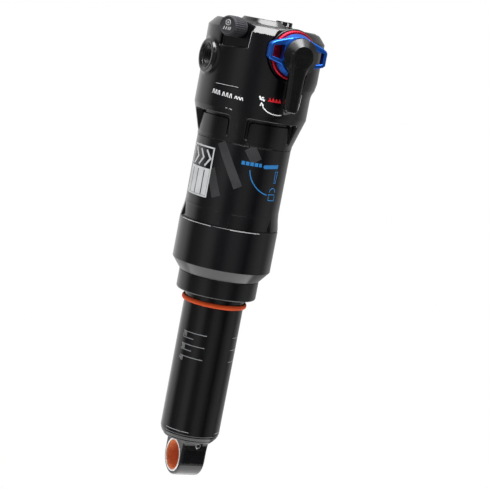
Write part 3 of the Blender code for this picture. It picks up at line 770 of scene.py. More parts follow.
@dataclass(frozen=True)
class Canvas:
    """A surface to print on: an upright cylinder, or a flat face."""

    radius: float = 0.0
    place: Matrix | None = None
    axis: tuple[float, float] = (0.0, 0.0)

    def lift(self, flat: Points, height: float) -> Points:
        """Put flat points on the surface.

        Args:
            flat: rows of (azimuth in degrees, Z) on the cylinder, or (x, y) on the face.
            height: how far above the surface.

        Returns:
            The points in the frame.
        """
        if self.place is not None:
            return out_of(self.place, np.column_stack([flat, np.full(len(flat), height)]))
        turn = np.radians(flat[:, 0])
        reach = self.radius + height
        x, y = self.axis
        return np.stack([x + reach * np.sin(turn), y - reach * np.cos(turn), flat[:, 1]], -1)

    @property
    def unit(self) -> float:
        """Millimetres for one unit of the first coordinate."""
        return 1.0 if self.place is not None else math.radians(self.radius)


@dataclass
class Print:
    """Ink marks on a canvas, gathered into one piece."""

    name: str
    canvas: Canvas
    finish: Finish
    body: str
    thickness: float = 0.03
    sink: float = 0.05
    points: list[Points] = field(default_factory=list)
    faces: list[list[int]] = field(default_factory=list)

    def stroke(self, line: Sequence[tuple[float, float]], width: float, closed: bool = False) -> None:
        """Lay one line of ink, mitred at its corners.

        Args:
            line: its points on the canvas.
            width: its width in millimetres.
            closed: whether it ends where it starts.
        """
        unit = self.canvas.unit
        corners = np.array(line, float) * (unit, 1.0)
        ends = np.roll(corners, -1, 0) if closed else corners[1:]
        path = []
        for here, there in zip(corners, ends):
            parts = max(1, int(math.ceil(np.linalg.norm(there - here) / 0.8)))
            path += [here + (there - here) * k / parts for k in range(parts)]
        if not closed:
            path.append(corners[-1])
        path = np.array(path)
        ahead = np.roll(path, -1, 0) - path
        if not closed:
            ahead[-1] = ahead[-2]
        behind = np.roll(ahead, 1, 0)
        if not closed:
            behind[0] = ahead[0]
        ahead /= np.linalg.norm(ahead, axis=1)[:, None]
        behind /= np.linalg.norm(behind, axis=1)[:, None]
        sides = np.stack([-(ahead + behind)[:, 1], (ahead + behind)[:, 0]], -1)
        sides /= np.linalg.norm(sides, axis=1)[:, None]
        miter = np.maximum(np.einsum("ij,ij->i", sides, np.stack([-ahead[:, 1], ahead[:, 0]], -1)), 0.4)
        sides *= (width / 2 / miter)[:, None]
        self._strip((path + sides) / (unit, 1.0), (path - sides) / (unit, 1.0), closed)

    def _strip(self, left: Points, right: Points, closed: bool) -> None:
        """Close a strip between two edges into a thin slab that follows the surface across as well.

        Args:
            left: its left edge on the canvas.
            right: its right edge.
            closed: whether its ends meet.
        """
        unit = self.canvas.unit
        width = float(np.linalg.norm((left[0] - right[0]) * (unit, 1.0)))
        lanes = max(1, int(math.ceil(width / 0.8)))
        across = [left + (right - left) * k / lanes for k in range(lanes + 1)]
        rows = [self.canvas.lift(lane, self.thickness) for lane in across]
        rows += [self.canvas.lift(lane, -self.sink) for lane in across[::-1]]
        ring = len(rows)
        start = sum(len(p) for p in self.points)
        count = len(left)
        self.points.append(np.stack(rows, 1).reshape(-1, 3))
        for i in range(count if closed else count - 1):
            here, there = start + ring * i, start + ring * ((i + 1) % count)
            for k in range(ring):
                m = (k + 1) % ring
                self.faces.append([here + k, here + m, there + m, there + k])
        if not closed:
            last = start + ring * (count - 1)
            for k in range(lanes):
                m = ring - 1 - k
                self.faces.append([start + m, start + m - 1, start + k + 1, start + k])
                self.faces.append([last + k, last + k + 1, last + m - 1, last + m])

    def bar(self, left: float, right: float, bottom: float, top: float) -> None:
        """A filled rectangle of ink."""
        middle = (bottom + top) / 2
        self.stroke([(left, middle), (right, middle)], top - bottom)

    def arc(self, centre: tuple[float, float], radius: float, start: float, end: float, width: float) -> None:
        """A round stroke.

        Args:
            centre: its centre on the canvas.
            radius: its radius in millimetres.
            start: where it starts, in degrees from the canvas's right.
            end: where it ends.
            width: its width in millimetres.
        """
        steps = max(6, int(abs(end - start) / 9))
        turns = [math.radians(start + (end - start) * k / steps) for k in range(steps + 1)]
        unit = self.canvas.unit
        full = abs(end - start) >= 360.0
        line = [(centre[0] + radius * math.cos(t) / unit, centre[1] + radius * math.sin(t)) for t in turns]
        self.stroke(line[:-1] if full else line, width, full)

    def digits(self, text: str, left: float, bottom: float, height: float) -> None:
        """Numbers of a scale.

        Args:
            text: the digits.
            left: the first one's left side on the canvas.
            bottom: their bottom.
            height: their height in millimetres.
        """
        shapes = {
            "0": [[(0, 1), (0, 0), (1, 0), (1, 2), (0, 2), (0, 1)]],
            "2": [[(0, 2), (1, 2), (1, 1), (0, 1), (0, 0), (1, 0)]],
            "3": [[(0, 2), (1, 2), (1, 0), (0, 0)], [(0.3, 1), (1, 1)]],
            "4": [[(0, 2), (0, 1), (1, 1)], [(1, 2), (1, 0)]],
        }
        scale = height / 2
        for place, digit in enumerate(text):
            start = left + place * 1.55 * scale / self.canvas.unit
            for line in shapes[digit]:
                path = [(start + x * scale * 0.95 / self.canvas.unit, bottom + y * scale) for x, y in line]
                self.stroke(path, height * 0.17)

    def build(self) -> bpy.types.Object:
        """Add the marks as one piece.

        Returns:
            The new object.
        """
        points = np.concatenate(self.points)
        return add_piece(self.name, points, self.faces, self.finish, self.body, sharp_deg=30.0)


# ---------------------------------------------------------------- head


@dataclass
class Head:
    """The trunnion head with its threads and prints."""

    radius: float = span("trunnion_head")[1].y
    top: float = 17.6
    hub_top: float = 20.0
    hub_radius: float = 12.4
    bottom: float = span("trunnion_head")[0].z
    half_width: float = span("trunnion_head")[1].x
    shoulder_z: float = -21.6
    boss_radius: float = 7.25
    bore_radius: float = 5.0
    bore_depth: float = 12.0
    floor_radius: float = 21.75
    seat_y: float = -22.8
    fairing_azimuth: float = 65.0
    fairing_shift: float = 4.8
    windows: tuple[tuple[float, float], ...] = (
        (-105.0, -46.5),
        (-28.0, 36.0),
        (75.0, 133.5),
        (152.0, 216.0),
    )

    def build(self) -> None:
        """Build the head and all that is on it."""
        shell = self._shell().plus(self._fairing(), 1.5)
        shell = self._trunnions(shell)
        shell = self._control_seat(shell)
        shell = self._valve_pocket(shell)
        shell = self._neck_windows(shell)
        shell = self._top_pad(shell)
        low = (-self.half_width - 0.7, -self.radius - 0.7, self.bottom - 0.7)
        high = (self.half_width + 0.7, self.radius + 0.7, self.hub_top + 0.7)
        Carved("head_shell", shell, low, high, 0.42, HEAD_BLACK, "head", ("trunnion_head",)).build()
        self._threads()
        self._marks()

    def _shell(self) -> Solid:
        """The turned body: barrel, cone, air chamber and the shaft's socket.

        Returns:
            The solid.
        """
        outline = (
            (20.7, self.bottom),
            (21.6, self.bottom),
            (21.7, -34.0),
            (self.radius - 0.2, self.shoulder_z - 0.2),
            (self.radius, self.shoulder_z + 0.4),
            (self.radius, 13.9),
            (23.2, 16.7),
            (22.2, self.top),
            (self.hub_radius, self.top),
            (self.hub_radius - 1.8, self.hub_top),
            (0.0, self.hub_top),
            (0.0, 6.6),
            (1.9, 6.6),
            (1.9, -1.0),
            (4.8, -1.0),
            (4.8, -12.0),
            (19.5, -12.0),
            (19.5, -24.0),
            (20.7, -24.0),
        )
        return Solid.turned(outline)

    def _fairing(self) -> Solid:
        """The swelling of the barrel between the controls and the right trunnion.

        Returns:
            The solid.
        """
        outline = (
            (15.0, -5.0),
            (19.5, -11.0),
            (22.0, -7.5),
            (22.6, -4.0),
            (22.6, 13.6),
            (20.2, 16.4),
            (19.3, 17.2),
            (15.0, 17.2),
        )
        shift = heading(self.fairing_azimuth, 0.0) * self.fairing_shift
        return Solid.turned(outline, Matrix.Translation(shift))

    def _trunnions(self, shell: Solid) -> Solid:
        """Add the bosses and bore their blind holes.

        Args:
            shell: the head so far.

        Returns:
            The head with it.
        """
        for side in (-1, 1):
            place = Matrix.Rotation(math.radians(90.0 * side), 4, "Y")
            shell = shell.plus(Solid.rod(self.boss_radius, 12.0, self.half_width, place, 0.5), 2.4)
            mouth = self.half_width
            bore = (
                (0.0, mouth - self.bore_depth),
                (self.bore_radius, mouth - self.bore_depth),
                (self.bore_radius, mouth - 0.9),
                (self.bore_radius + 1.1, mouth + 0.2),
                (self.bore_radius + 1.1, mouth + 4.0),
                (0.0, mouth + 4.0),
            )
            shell = shell.minus(Solid.turned(bore, place), 0.2)
        return shell

    def _control_seat(self, shell: Solid) -> Solid:
        """Cut the pocket for the controls, the finger slot under it and the spindle's bore.

        Args:
            shell: the head so far.

        Returns:
            The head with it.
        """
        shell = shell.minus(Solid.rod(12.2, 0.0, 8.0, CONTROL, 0.2), 0.5)
        slot = ((3.2, 7.0), (3.2, -16.6), (10.9, -16.6), (12.2, 0.0), (13.8, 7.0))
        face = azimuth_frame(0.0, 0.0, self.seat_y, 0.0)
        shell = shell.minus(Solid.plate(slot, 0.0, 8.0, face, 0.9), 0.4)
        ledge = ((-self.seat_y, -16.0), (-self.seat_y, -16.6), (31.6, -25.4), (31.6, -16.0))
        shell = shell.minus(Solid.plate(ledge, -10.8, -3.4, ALONG_X, 0.2), 0.3)
        return shell.minus(Solid.rod(2.9, -21.0, 1.0, CONTROL), 0.3)

    def _valve_pocket(self, shell: Solid) -> Solid:
        """Cut the valve's flat and its threaded seat.

        Args:
            shell: the head so far.

        Returns:
            The head with it.
        """
        flat = ((-7.4, 5.6), (7.4, 6.6), (7.4, 24.0), (-7.4, 24.0))
        shell = shell.minus(Solid.plate(flat, 22.4, 32.0, azimuth_frame(Valve.azimuth), 0.6), 0.5)
        seat = azimuth_frame(Valve.azimuth, 0.0, 0.0, Valve.height)
        return shell.minus(Solid.rod(2.5, 14.0, 27.0, seat), 0.3)

    def _neck_windows(self, shell: Solid) -> Solid:
        """Cut the windows round the cone, with a groove along the top and the sides of each floor.

        Args:
            shell: the head so far.

        Returns:
            The head with it.
        """
        for start, end in self.windows:
            shell = shell.minus(Solid.window(self.floor_radius, (start, end), (-33.2, -23.6), 1.2), 0.5)
            moat = Solid.window(21.2, (start + 0.4, end - 0.4), (-33.0, -23.9), 1.2)
            island = Solid.window(20.0, (start + 3.4, end - 3.4), (-36.0, -25.1), 1.6)
            shell = shell.minus(moat.minus(island, 0.3), 0.25)
        return shell

    def _top_pad(self, shell: Solid) -> Solid:
        """Add the pad that tapers away to the left of the adjuster, and sink the adjuster's recess and bore.

        Args:
            shell: the head so far.

        Returns:
            The head with it.
        """
        x, y = Controls.adjuster_at
        place = Matrix.Translation((x, y, 0.0))
        wing = ((x, y - 5.2), (x, y + 5.0), (x - 9.5, y + 1.6), (x - 10.5, y), (x - 9.5, y - 2.6))
        shell = shell.plus(Solid.plate(wing, self.top - 2.0, self.top + 1.5, UPRIGHT, 1.1), 0.5)
        shell = shell.minus(Solid.rod(4.5, self.top - 0.2, 30.0, place), 0.3)
        return shell.minus(Solid.rod(2.4, 12.0, 30.0, place), 0.3)

    def _threads(self) -> None:
        """Line each blind hole with its thread."""
        for side, name in ((-1, "left"), (1, "right")):
            place = Matrix.Rotation(math.radians(90.0 * side), 4, "Y")
            first, last, pitch = self.half_width - self.bore_depth + 0.4, self.half_width - 1.2, 1.0
            outline = [(self.bore_radius + 0.25, first), (self.bore_radius + 0.25, last)]
            turns = int((last - first) / pitch)
            for k in range(turns):
                crest = last - pitch * k
                outline += [(self.bore_radius, crest), (self.bore_radius - 0.55, crest - pitch / 2)]
            outline.append((self.bore_radius, first))
            Turned(f"trunnion_thread_{name}", outline, TURNED_BLACK, "head", place, 0.06, 2, 72).build()

    def _marks(self) -> None:
        """Print the head's marks, with bars in place of words, and painted highlights along the edges of the
        finger slot and the valve pocket.
        """
        canvas = Canvas(self.radius)
        white = Print("head_marks_white", canvas, WHITE_INK, "head")
        for k, left in enumerate((-71.0, -67.4, -63.8, -58.4, -54.2, -50.2, -44.6, -41.6, -38.6)):
            tall = 0.95 if k < 6 else 0.65
            low = -14.6 - (left + 70.0) * 0.03
            white.stroke([(left, low - tall), (left + 0.8, low + tall)], 0.36)
            white.stroke([(left + 1.6, low + tall), (left + 2.4, low - tall)], 0.36)
        white.stroke([(-69.0, -10.9), (-43.0, -10.9)], 0.13)
        white.stroke([(-52.5, -20.6), (-50.0, -20.7)], 0.14)
        white.stroke([(-48.0, -20.8), (-45.0, -20.9)], 0.14)
        white.stroke([(-20.6, -12.7), (-19.0, -14.0), (-15.0, -14.4)], 0.75)
        white.stroke([(-18.4, -13.2), (-16.0, -13.3)], 0.6)
        curve = [(-16.8, -16.2), (-14.6, -17.7), (-10.5, -19.0), (-5.0, -19.7), (0.5, -19.9), (5.7, -19.6)]
        white.stroke(curve, 0.42)
        white.stroke([(-18.6, -16.9), (-17.6, -15.6), (-15.2, -16.6)], 0.46)
        white.build()
        red = Print("head_marks_red", canvas, RED_INK, "head")
        for k in range(4):
            left = -10.9 + 3.5 * k
            red.stroke([(left, -14.5), (left + 0.9, -13.3), (left + 2.4, -14.4)], 0.62)
        red.build()
        # Painted highlights: light lines along the finger slot's right edge and the valve pocket's right
        # wall, where those edges catch the light.
        bright = Print("head_edge_highlights_painted", canvas, EDGE_HIGHLIGHT_PAINT, "head", thickness=0.03)
        slot_edge_highlight = [(30.3, 0.4), (29.6, -2.3), (29.1, -6.0), (28.3, -10.5), (27.4, -15.2), (26.0, -16.7)]
        bright.stroke(slot_edge_highlight, 0.34)
        bright.stroke([(-39.6, 14.0), (-39.9, 10.8), (-40.6, 6.8)], 0.16)
        bright.build()


# ---------------------------------------------------------------- air can


@dataclass
class AirCan:
    """The can, its lower sleeve and collar, and the prints on the can."""

    radius: float = 21.5
    top: float = -35.75
    lip_radius: float = span("negative_sleeve")[1].x
    lip_z: float = span("negative_sleeve")[1].z
    sleeve_end: float = span("negative_sleeve")[0].z
    collar_radius: float = span("wiper_collar")[1].x
    collar_end: float = span("wiper_collar")[0].z
    pads: tuple[tuple[float, float], ...] = (
        (-104.0, -40.4),
        (-26.9, 30.2),
        (76.0, 139.6),
        (153.1, 210.2),
    )

    def build(self) -> None:
        """Build the can's pieces and prints."""
        self._barrel()
        self._flare()
        self._lip_painted_highlight()
        self._sleeve()
        self._collar()
        self._badge()
        self._stripes()
        self._pictogram()

    def _barrel(self) -> None:
        """The can's barrel with the spigot inside the head."""
        outline = (
            (19.5, -91.5),
            (20.8, -91.5),
            (20.8, self.lip_z - 0.3),
            (self.radius, self.lip_z - 0.25),
            (self.radius, self.top, 0.2),
            (20.4, self.top),
            (20.4, -25.8),
            (19.5, -25.8),
        )
        Turned("can_barrel", outline, CAN_BLACK, "head", sides=192, replaces=("air_can",)).build()

    def _flare(self) -> None:
        """The swell at the can's foot, cut away between its ribs."""
        foot = self.lip_z + 0.35
        outline = (
            (self.radius - 0.5, foot),
            (self.lip_radius - 0.15, foot),
            (self.lip_radius - 0.2, foot + 0.8),
            (22.15, -70.2),
            (21.75, -68.0),
            (self.radius, -65.2),
            (self.radius - 0.5, -64.8),
        )
        swell = Solid.turned(outline)
        for pad in self.pads:
            swell = swell.minus(Solid.window(self.radius - 0.02, pad, (foot - 3.0, -66.8), 1.0), 0.35)
        reach = self.lip_radius + 0.7
        low, high = (-reach, -reach, foot - 0.7), (reach, reach, -64.2)
        Carved("can_flare", swell, low, high, 0.3, CAN_BLACK, "head").build()

    def _lip_painted_highlight(self) -> None:
        """A painted highlight: a light line along the sleeve's lip where the swell is cut away, where the
        lip's edge catches the light.
        """
        edges = Print("can_lip_highlight_painted", Canvas(self.lip_radius), EDGE_HIGHLIGHT_PAINT, "head", sink=0.4)
        height = self.lip_z - 0.35
        for start, end in ((-94.0, -47.0), (-24.0, 12.0), (86.0, 130.0), (160.0, 200.0)):
            edges.stroke([(start, height), (end, height)], 0.26)
        edges.build()

    def _sleeve(self) -> None:
        """The lower sleeve with its lip and long chamfer; the bright line on the lip is a painted highlight
        laid separately.
        """
        outline = (
            (17.7, self.sleeve_end),
            (18.6, self.sleeve_end, 0.1),
            (self.lip_radius, -92.4, 0.35),
            (self.lip_radius, self.lip_z, 0.45),
            (21.1, self.lip_z, 0.1),
            (21.1, -92.6),
            (17.7, -94.6),
        )
        stands_for = ("negative_sleeve",)
        Turned("lower_sleeve", outline, CAN_BLACK, "head", sides=192, steps=5, replaces=stands_for).build()

    def _collar(self) -> None:
        """The collar and the dust wiper's lip."""
        outline = (
            (14.2, -93.0),
            (14.2, -101.5),
            (16.4, -101.5),
            (16.4, -105.4),
            (15.6, self.collar_end, 0.2),
            (self.collar_radius, self.collar_end, 0.9),
            (self.collar_radius, self.sleeve_end - 0.2, 0.2),
            (17.4, self.sleeve_end - 0.2),
            (17.4, -93.0),
        )
        stands_for = ("wiper_collar",)
        Turned("collar", outline, TURNED_BLACK, "head", sides=176, steps=6, replaces=stands_for).build()
        lip = ((14.1, -101.9), (16.1, -101.9), (16.1, -105.2), (15.2, -106.3), (14.0, -106.9), (14.4, -104.0))
        Turned("dust_wiper", lip, RUBBER, "head", fillet=0.2, sides=144, replaces=("wiper_seal",)).build()

    def _badge(self) -> None:
        """A plain two-part badge: a framed dark half over a silver half, with abstract bars."""
        canvas = Canvas(self.radius)
        left, right, top, low, middle = -104.0, -61.0, -39.2, -61.6, -49.6
        badge = Print("can_badge", canvas, SILVER_INK, "head")
        inset = math.degrees(0.5 / self.radius)
        inner_left, inner_right, inner_top = left + inset, right - inset, top - 0.5
        border = [(inner_left, inner_top), (inner_right, inner_top), (inner_right, low), (inner_left, low)]
        badge.stroke(border, 0.7, closed=True)
        badge.bar(left + 2 * inset, right - 2 * inset, middle - 0.5, middle + 0.5)
        for k in range(3):
            start = left + 8.0 + 11.5 * k
            badge.stroke([(start, middle + 1.4), (start + 7.5, middle + 5.0), (start, middle + 8.6)], 0.95)
        floor = low + 0.5
        edges = [left + 2 * inset, left + 10.0, left + 21.5, left + 33.0, right - 2 * inset]
        for k, (start, end) in enumerate(zip(edges, edges[1:])):
            badge.bar(start, end - (1.6 if k < 3 else 0.0), floor, middle - 0.5)
        badge.build()

    def _stripes(self) -> None:
        """Three slanted satin stripes."""
        stripes = Print("can_stripes", Canvas(self.radius), SATIN_INK, "head", thickness=0.02)
        for start, end, width in (
            ((-54.0, self.top - 0.4), (-24.5, -54.5), 4.0),
            ((-62.0, -48.6), (-48.5, -60.4), 4.2),
            ((-19.0, self.top - 0.4), (-8.0, -41.8), 5.2),
        ):
            stripes.stroke([start, end], width)
        stripes.build()

    def _pictogram(self) -> None:
        """The lever's pictogram: its two places, the arc between them, and bars in place of a word."""
        blue = Print("can_pictogram", Canvas(self.radius), BLUE_INK, "head")
        bars = ((-25.6, -21.6), (-20.4, -16.4), (-15.2, -10.8), (-9.6, -5.4), (-4.2, -0.6))
        for left, right in bars:
            blue.bar(left, right, -43.9, -42.3)
        blue.stroke([(4.6, -43.5), (24.6, -42.9)], 1.7)
        blue.arc((4.2, -43.5), 0.43, -180.0, 180.0, 0.84)
        blue.arc((18.5, -43.4), 12.6, 191.0, 263.0, 0.45)
        blue.stroke([(22.0, -45.3), (25.8, -45.1), (25.0, -50.3), (22.4, -50.3)], 0.28, closed=True)
        blue.stroke([(17.3, -55.6), (27.6, -55.6), (28.4, -58.3), (17.6, -58.3)], 0.32, closed=True)
        blue.arc((22.7, -54.6), 1.9, 0.0, 180.0, 0.32)
        blue.build()


# ---------------------------------------------------------------- damper leg


@dataclass
class DamperLeg:
    """The sliding tube with its scale, the sag ring and the bottom eyelet."""

    radius: float = span("damper_body")[1].x
    tube_end: float = span("damper_body")[0].z
    tube_top: float = span("damper_body")[1].z
    eye_radius: float = 9.2
    half_width: float = span("eyelet_bushing")[1].x + 0.1
    bushing_radius: float = span("eyelet_bushing")[1].y

    def build(self) -> None:
        """Build the leg's pieces."""
        self._tube()
        self._scale()
        self._ring()
        self._eyelet()
        self._bushing()

    def _tube(self) -> None:
        """The tube with its rolled lower edge."""
        outline = (
            (12.3, self.tube_end),
            (12.9, self.tube_end, 0.3),
            (self.radius - 0.25, self.tube_end + 1.5, 0.6),
            (self.radius - 0.2, self.tube_end + 2.1, 0.05),
            (self.radius, self.tube_end + 2.4, 0.05),
            (self.radius, self.tube_top),
            (12.3, self.tube_top),
        )
        Turned("tube", outline, TUBE_BLACK, "damper", sides=176, steps=4, replaces=("damper_body",)).build()

    def _scale(self) -> None:
        """The travel scale: long and short lines, numbers, and the full-stroke line, on both sides."""
        scale = Print("travel_scale", Canvas(self.radius), SCALE_INK, "damper", thickness=0.02)
        for side in (-1, 1):
            near, far = (-28.0, -79.0) if side < 0 else (30.0, 76.0)
            short = -53.0 if side < 0 else 52.0
            for k, height in enumerate((-124.6, -127.4, -130.4, -133.0, -136.0)):
                inner = near if k % 2 == 0 else short
                scale.stroke([(far, height), (inner, height)], 0.28)
            for text, height in (("20", -124.6), ("30", -130.4), ("40", -136.0)):
                left = far + 1.0 if side < 0 else far - 9.0
                scale.digits(text, left, height - 2.0, 1.5)
            scale.stroke([(far, -170.5), (near, -170.5)], 0.3)
        scale.build()

    def _ring(self) -> None:
        """The sag O-ring, of oval section."""
        low, high = span("sag_o_ring")
        inner, outer = self.radius + 0.02, high.x
        mid, half = (inner + outer) / 2, (outer - inner) / 2
        centre, rise = (low.z + high.z) / 2, (high.z - low.z) / 2
        turns = [math.tau * k / 16 for k in range(16)]
        section = [(mid + half * math.cos(t), centre + rise * math.sin(t)) for t in turns]
        stands_for = ("sag_o_ring",)
        Turned("sag_ring", section, ORANGE, "sag_ring", fillet=0.0, sides=144, replaces=stands_for).build()

    def _eyelet(self) -> None:
        """The eyelet with its plug, fillets and charge port."""
        plug = (
            (0.0, -169.5),
            (12.0, -169.5),
            (12.0, self.tube_end - 0.3),
            (12.4, self.tube_end - 0.3),
            (11.9, -175.5),
            (0.0, -175.5),
        )
        turns = [math.pi * k / 24 for k in range(25)]
        lug = [(self.eye_radius * math.cos(t), EYE_Z - self.eye_radius * math.sin(t)) for t in turns]
        lug += [(-self.eye_radius, -180.0), (-9.5, -177.5), (-10.2, -175.0), (10.2, -175.0), (9.5, -177.5)]
        lug.append((self.eye_radius, -180.0))
        body = Solid.plate(lug, -self.half_width, self.half_width, X_AXIS, 1.3)
        body = Solid.turned(plug).plus(body, 1.2)
        across = X_AXIS @ Matrix.Translation((0.0, EYE_Z, 0.0))
        body = body.minus(Solid.rod(self.bushing_radius + 0.3, -20.0, 20.0, across), 0.5)
        port = azimuth_frame(0.0, 1.6, 0.0, -177.6)
        body = body.minus(Solid.rod(1.9, 8.2, 16.0, port), 0.4)
        groove = ((11.0, -172.4), (14.0, -172.4), (14.0, -170.8), (11.0, -170.8))
        body = body.minus(Solid.turned(groove), 0.2)
        low, high = (-13.0, -13.0, EYE_Z - self.eye_radius - 0.6), (13.0, 13.0, -168.9)
        Carved("eyelet", body, low, high, 0.26, HEAD_BLACK, "damper", ("bottom_eyelet",)).build()
        screw = ((0.0, 7.0), (1.5, 7.0), (1.5, 8.7, 0.2), (0.7, 8.7), (0.7, 7.9), (0.0, 7.9))
        stands_for = ("charge_port_screw",)
        Turned("port_screw", screw, STEEL, "damper", port, 0.05, 2, 40, None, stands_for).build()

    def _bushing(self) -> None:
        """The bushing: a bright shell pressed into the eye, and its lining."""
        across = X_AXIS @ Matrix.Translation((0.0, EYE_Z, 0.0))
        outer, inner, bore = self.bushing_radius + 0.25, self.bushing_radius - 0.5, 6.35
        half = self.half_width
        shell = ((inner, -half - 0.05), (outer, -half - 0.05), (outer, half + 0.05), (inner, half + 0.05))
        grip = inner + 0.05
        lining = ((bore, -half + 0.25), (grip, -half + 0.1), (grip, half - 0.1), (bore, half - 0.25))
        stands_for = ("eyelet_bushing",)
        Turned("bushing_shell", shell, STEEL, "damper", across, 0.12, 3, 96, None, stands_for).build()
        Turned("bushing_lining", lining, LINER, "damper", across, 0.1, 2, 96).build()


# ---------------------------------------------------------------- controls


@dataclass
class Controls:
    """The knobs and the lever on the control axis, and the adjuster in the top."""

    adjuster_at: tuple[float, float] = tuple(joint_point("bottom_out_turn"))[:2]

    def build(self) -> None:
        """Build the controls from the head outwards."""
        self._base()
        self._rebound()
        self._dial()
        self._lever()
        self._adjuster()

    def _base(self) -> None:
        """The fixed black ring."""
        outline = ((3.0, 0.3), (11.5, 0.3), (11.5, 1.5, 0.4), (3.0, 1.5))
        stands_for = ("control_base",)
        Turned("control_ring", outline, TURNED_BLACK, "head", CONTROL, 0.1, 3, 120, None, stands_for).build()

    def _rebound(self) -> None:
        """The red ring, scalloped for the fingers."""
        outline = ((3.0, 1.8), (10.9, 1.8, 0.2), (10.9, 2.7, 0.2), (10.5, 3.3, 0.2), (3.0, 3.3))
        ribs = Ribs(56, 0.16, 10.4, 2.0)
        body, stands_for = "rebound_adjuster", ("rebound_knob",)
        Turned("rebound_ring", outline, RED, body, CONTROL, 0.1, 3, 192, ribs, stands_for).build()

    def _dial(self) -> None:
        """The blue dial with its two looped ears."""
        disc = ((3.0, 3.6), (9.6, 3.6), (9.6, 4.3), (8.5, 7.0), (3.0, 7.0))
        dial = Solid.turned(disc, CONTROL)
        ear = [(4.0, -5.3), (8.4, -4.3), (13.2, -3.0), (14.2, -2.1)]
        ear += [(14.2, 3.4), (13.6, 4.4), (11.5, 5.5), (4.0, 8.0)]
        hole = ((7.2, -2.5), (12.4, -1.5), (12.4, 3.1), (7.2, 3.9))
        for side in (-1, 1):
            dial = dial.plus(Solid.plate([(side * t, z) for t, z in ear], 3.8, 7.0, CONTROL, 0.9), 0.4)
        for side in (-1, 1):
            dial = dial.minus(Solid.plate([(side * t, z) for t, z in hole], 0.0, 10.0, CONTROL), 0.4)
        dial = dial.minus(Solid.rod(3.0, 0.0, 10.0, CONTROL), 0.3)
        centre = CONTROL.translation
        low = (centre.x - 15.8, centre.y - 7.6, centre.z - 11.0)
        high = (centre.x + 15.8, centre.y - 3.0, centre.z + 11.0)
        Carved("dial", dial, low, high, 0.2, BLUE, "compression_adjuster", ("compression_dial",)).build()

    def _lever(self) -> None:
        """The lever: a cone-sided cap and a bevelled arm."""
        cap = ((0.0, 7.3), (7.4, 7.3), (8.1, 9.1), (8.1, 9.6), (5.1, 11.6), (4.8, 11.8), (0.0, 11.8))
        left_side = ((-5.4, 1.0), (-4.2, -10.0), (-3.6, -23.4), (-2.5, -24.7))
        arm = left_side + ((1.8, -24.7), (2.7, -23.6), (3.0, -10.0), (4.2, 1.0))
        lever = Solid.turned(cap, CONTROL).plus(Solid.plate(arm, 7.5, 11.6, CONTROL, 1.7), 0.8)
        lever = lever.minus(Solid.rod(2.9, 0.0, 9.4, CONTROL), 0.2)
        centre = CONTROL.translation
        low = (centre.x - 8.8, centre.y - 12.4, centre.z - 25.4)
        high = (centre.x + 8.8, centre.y - 6.8, centre.z + 8.8)
        Carved("lever_body", lever, low, high, 0.22, LEVER_BLACK, "lever", ("threshold_lever",)).build()

    def _adjuster(self) -> None:
        """The castellated adjuster with its stem, and painted highlights on the ribs between its notches."""
        low, high = span("bottom_out_adjuster")
        place = Matrix.Translation((*self.adjuster_at, 0.0))
        radius, top = (high.x - low.x) / 2, high.z
        base = Head.top + 0.3
        body = Solid.rod(radius, base, top, place, 0.5).plus(Solid.rod(2.1, low.z, top - 1.0, place), 0.2)
        count = 8
        for k in range(count):
            turn = math.tau * (k + 0.5) / count
            notch = place @ Matrix.Translation((4.25 * math.cos(turn), 4.25 * math.sin(turn), 0.0))
            body = body.minus(Solid.rod(1.05, base + 0.5, top + 3.0, notch), 0.2)
        slot = ((-2.4, -0.4), (2.4, -0.4), (2.4, 0.4), (-2.4, 0.4))
        slot_turn = place @ Matrix.Rotation(math.radians(25.0), 4, "Z")
        body = body.minus(Solid.plate(slot, top - 0.8, top + 2.0, slot_turn), 0.2)
        corner = Vector((radius + 0.5, radius + 0.5, 0.0))
        centre = Vector((*self.adjuster_at, 0.0))
        first, last = centre - corner, centre + corner
        box = ((first.x, first.y, low.z - 0.4), (last.x, last.y, top + 0.4))
        Carved("adjuster", body, *box, 0.15, LEVER_BLACK, "bottom_out_knob", ("bottom_out_adjuster",)).build()
        # Painted highlights: light grey bars on the outer faces of the ribs between the notches, where they
        # catch the light.
        wall = Canvas(radius, axis=self.adjuster_at)
        rib_highlights = Print("adjuster_rib_highlights_painted", wall, EDGE_HIGHLIGHT_PAINT, "bottom_out_knob", thickness=0.02)
        for k in range(count):
            turn = 360.0 * k / count
            rib_highlights.bar(turn - 6.0, turn + 6.0, base + 0.6, top - 0.45)
        rib_highlights.build()


# ---------------------------------------------------------------- valve


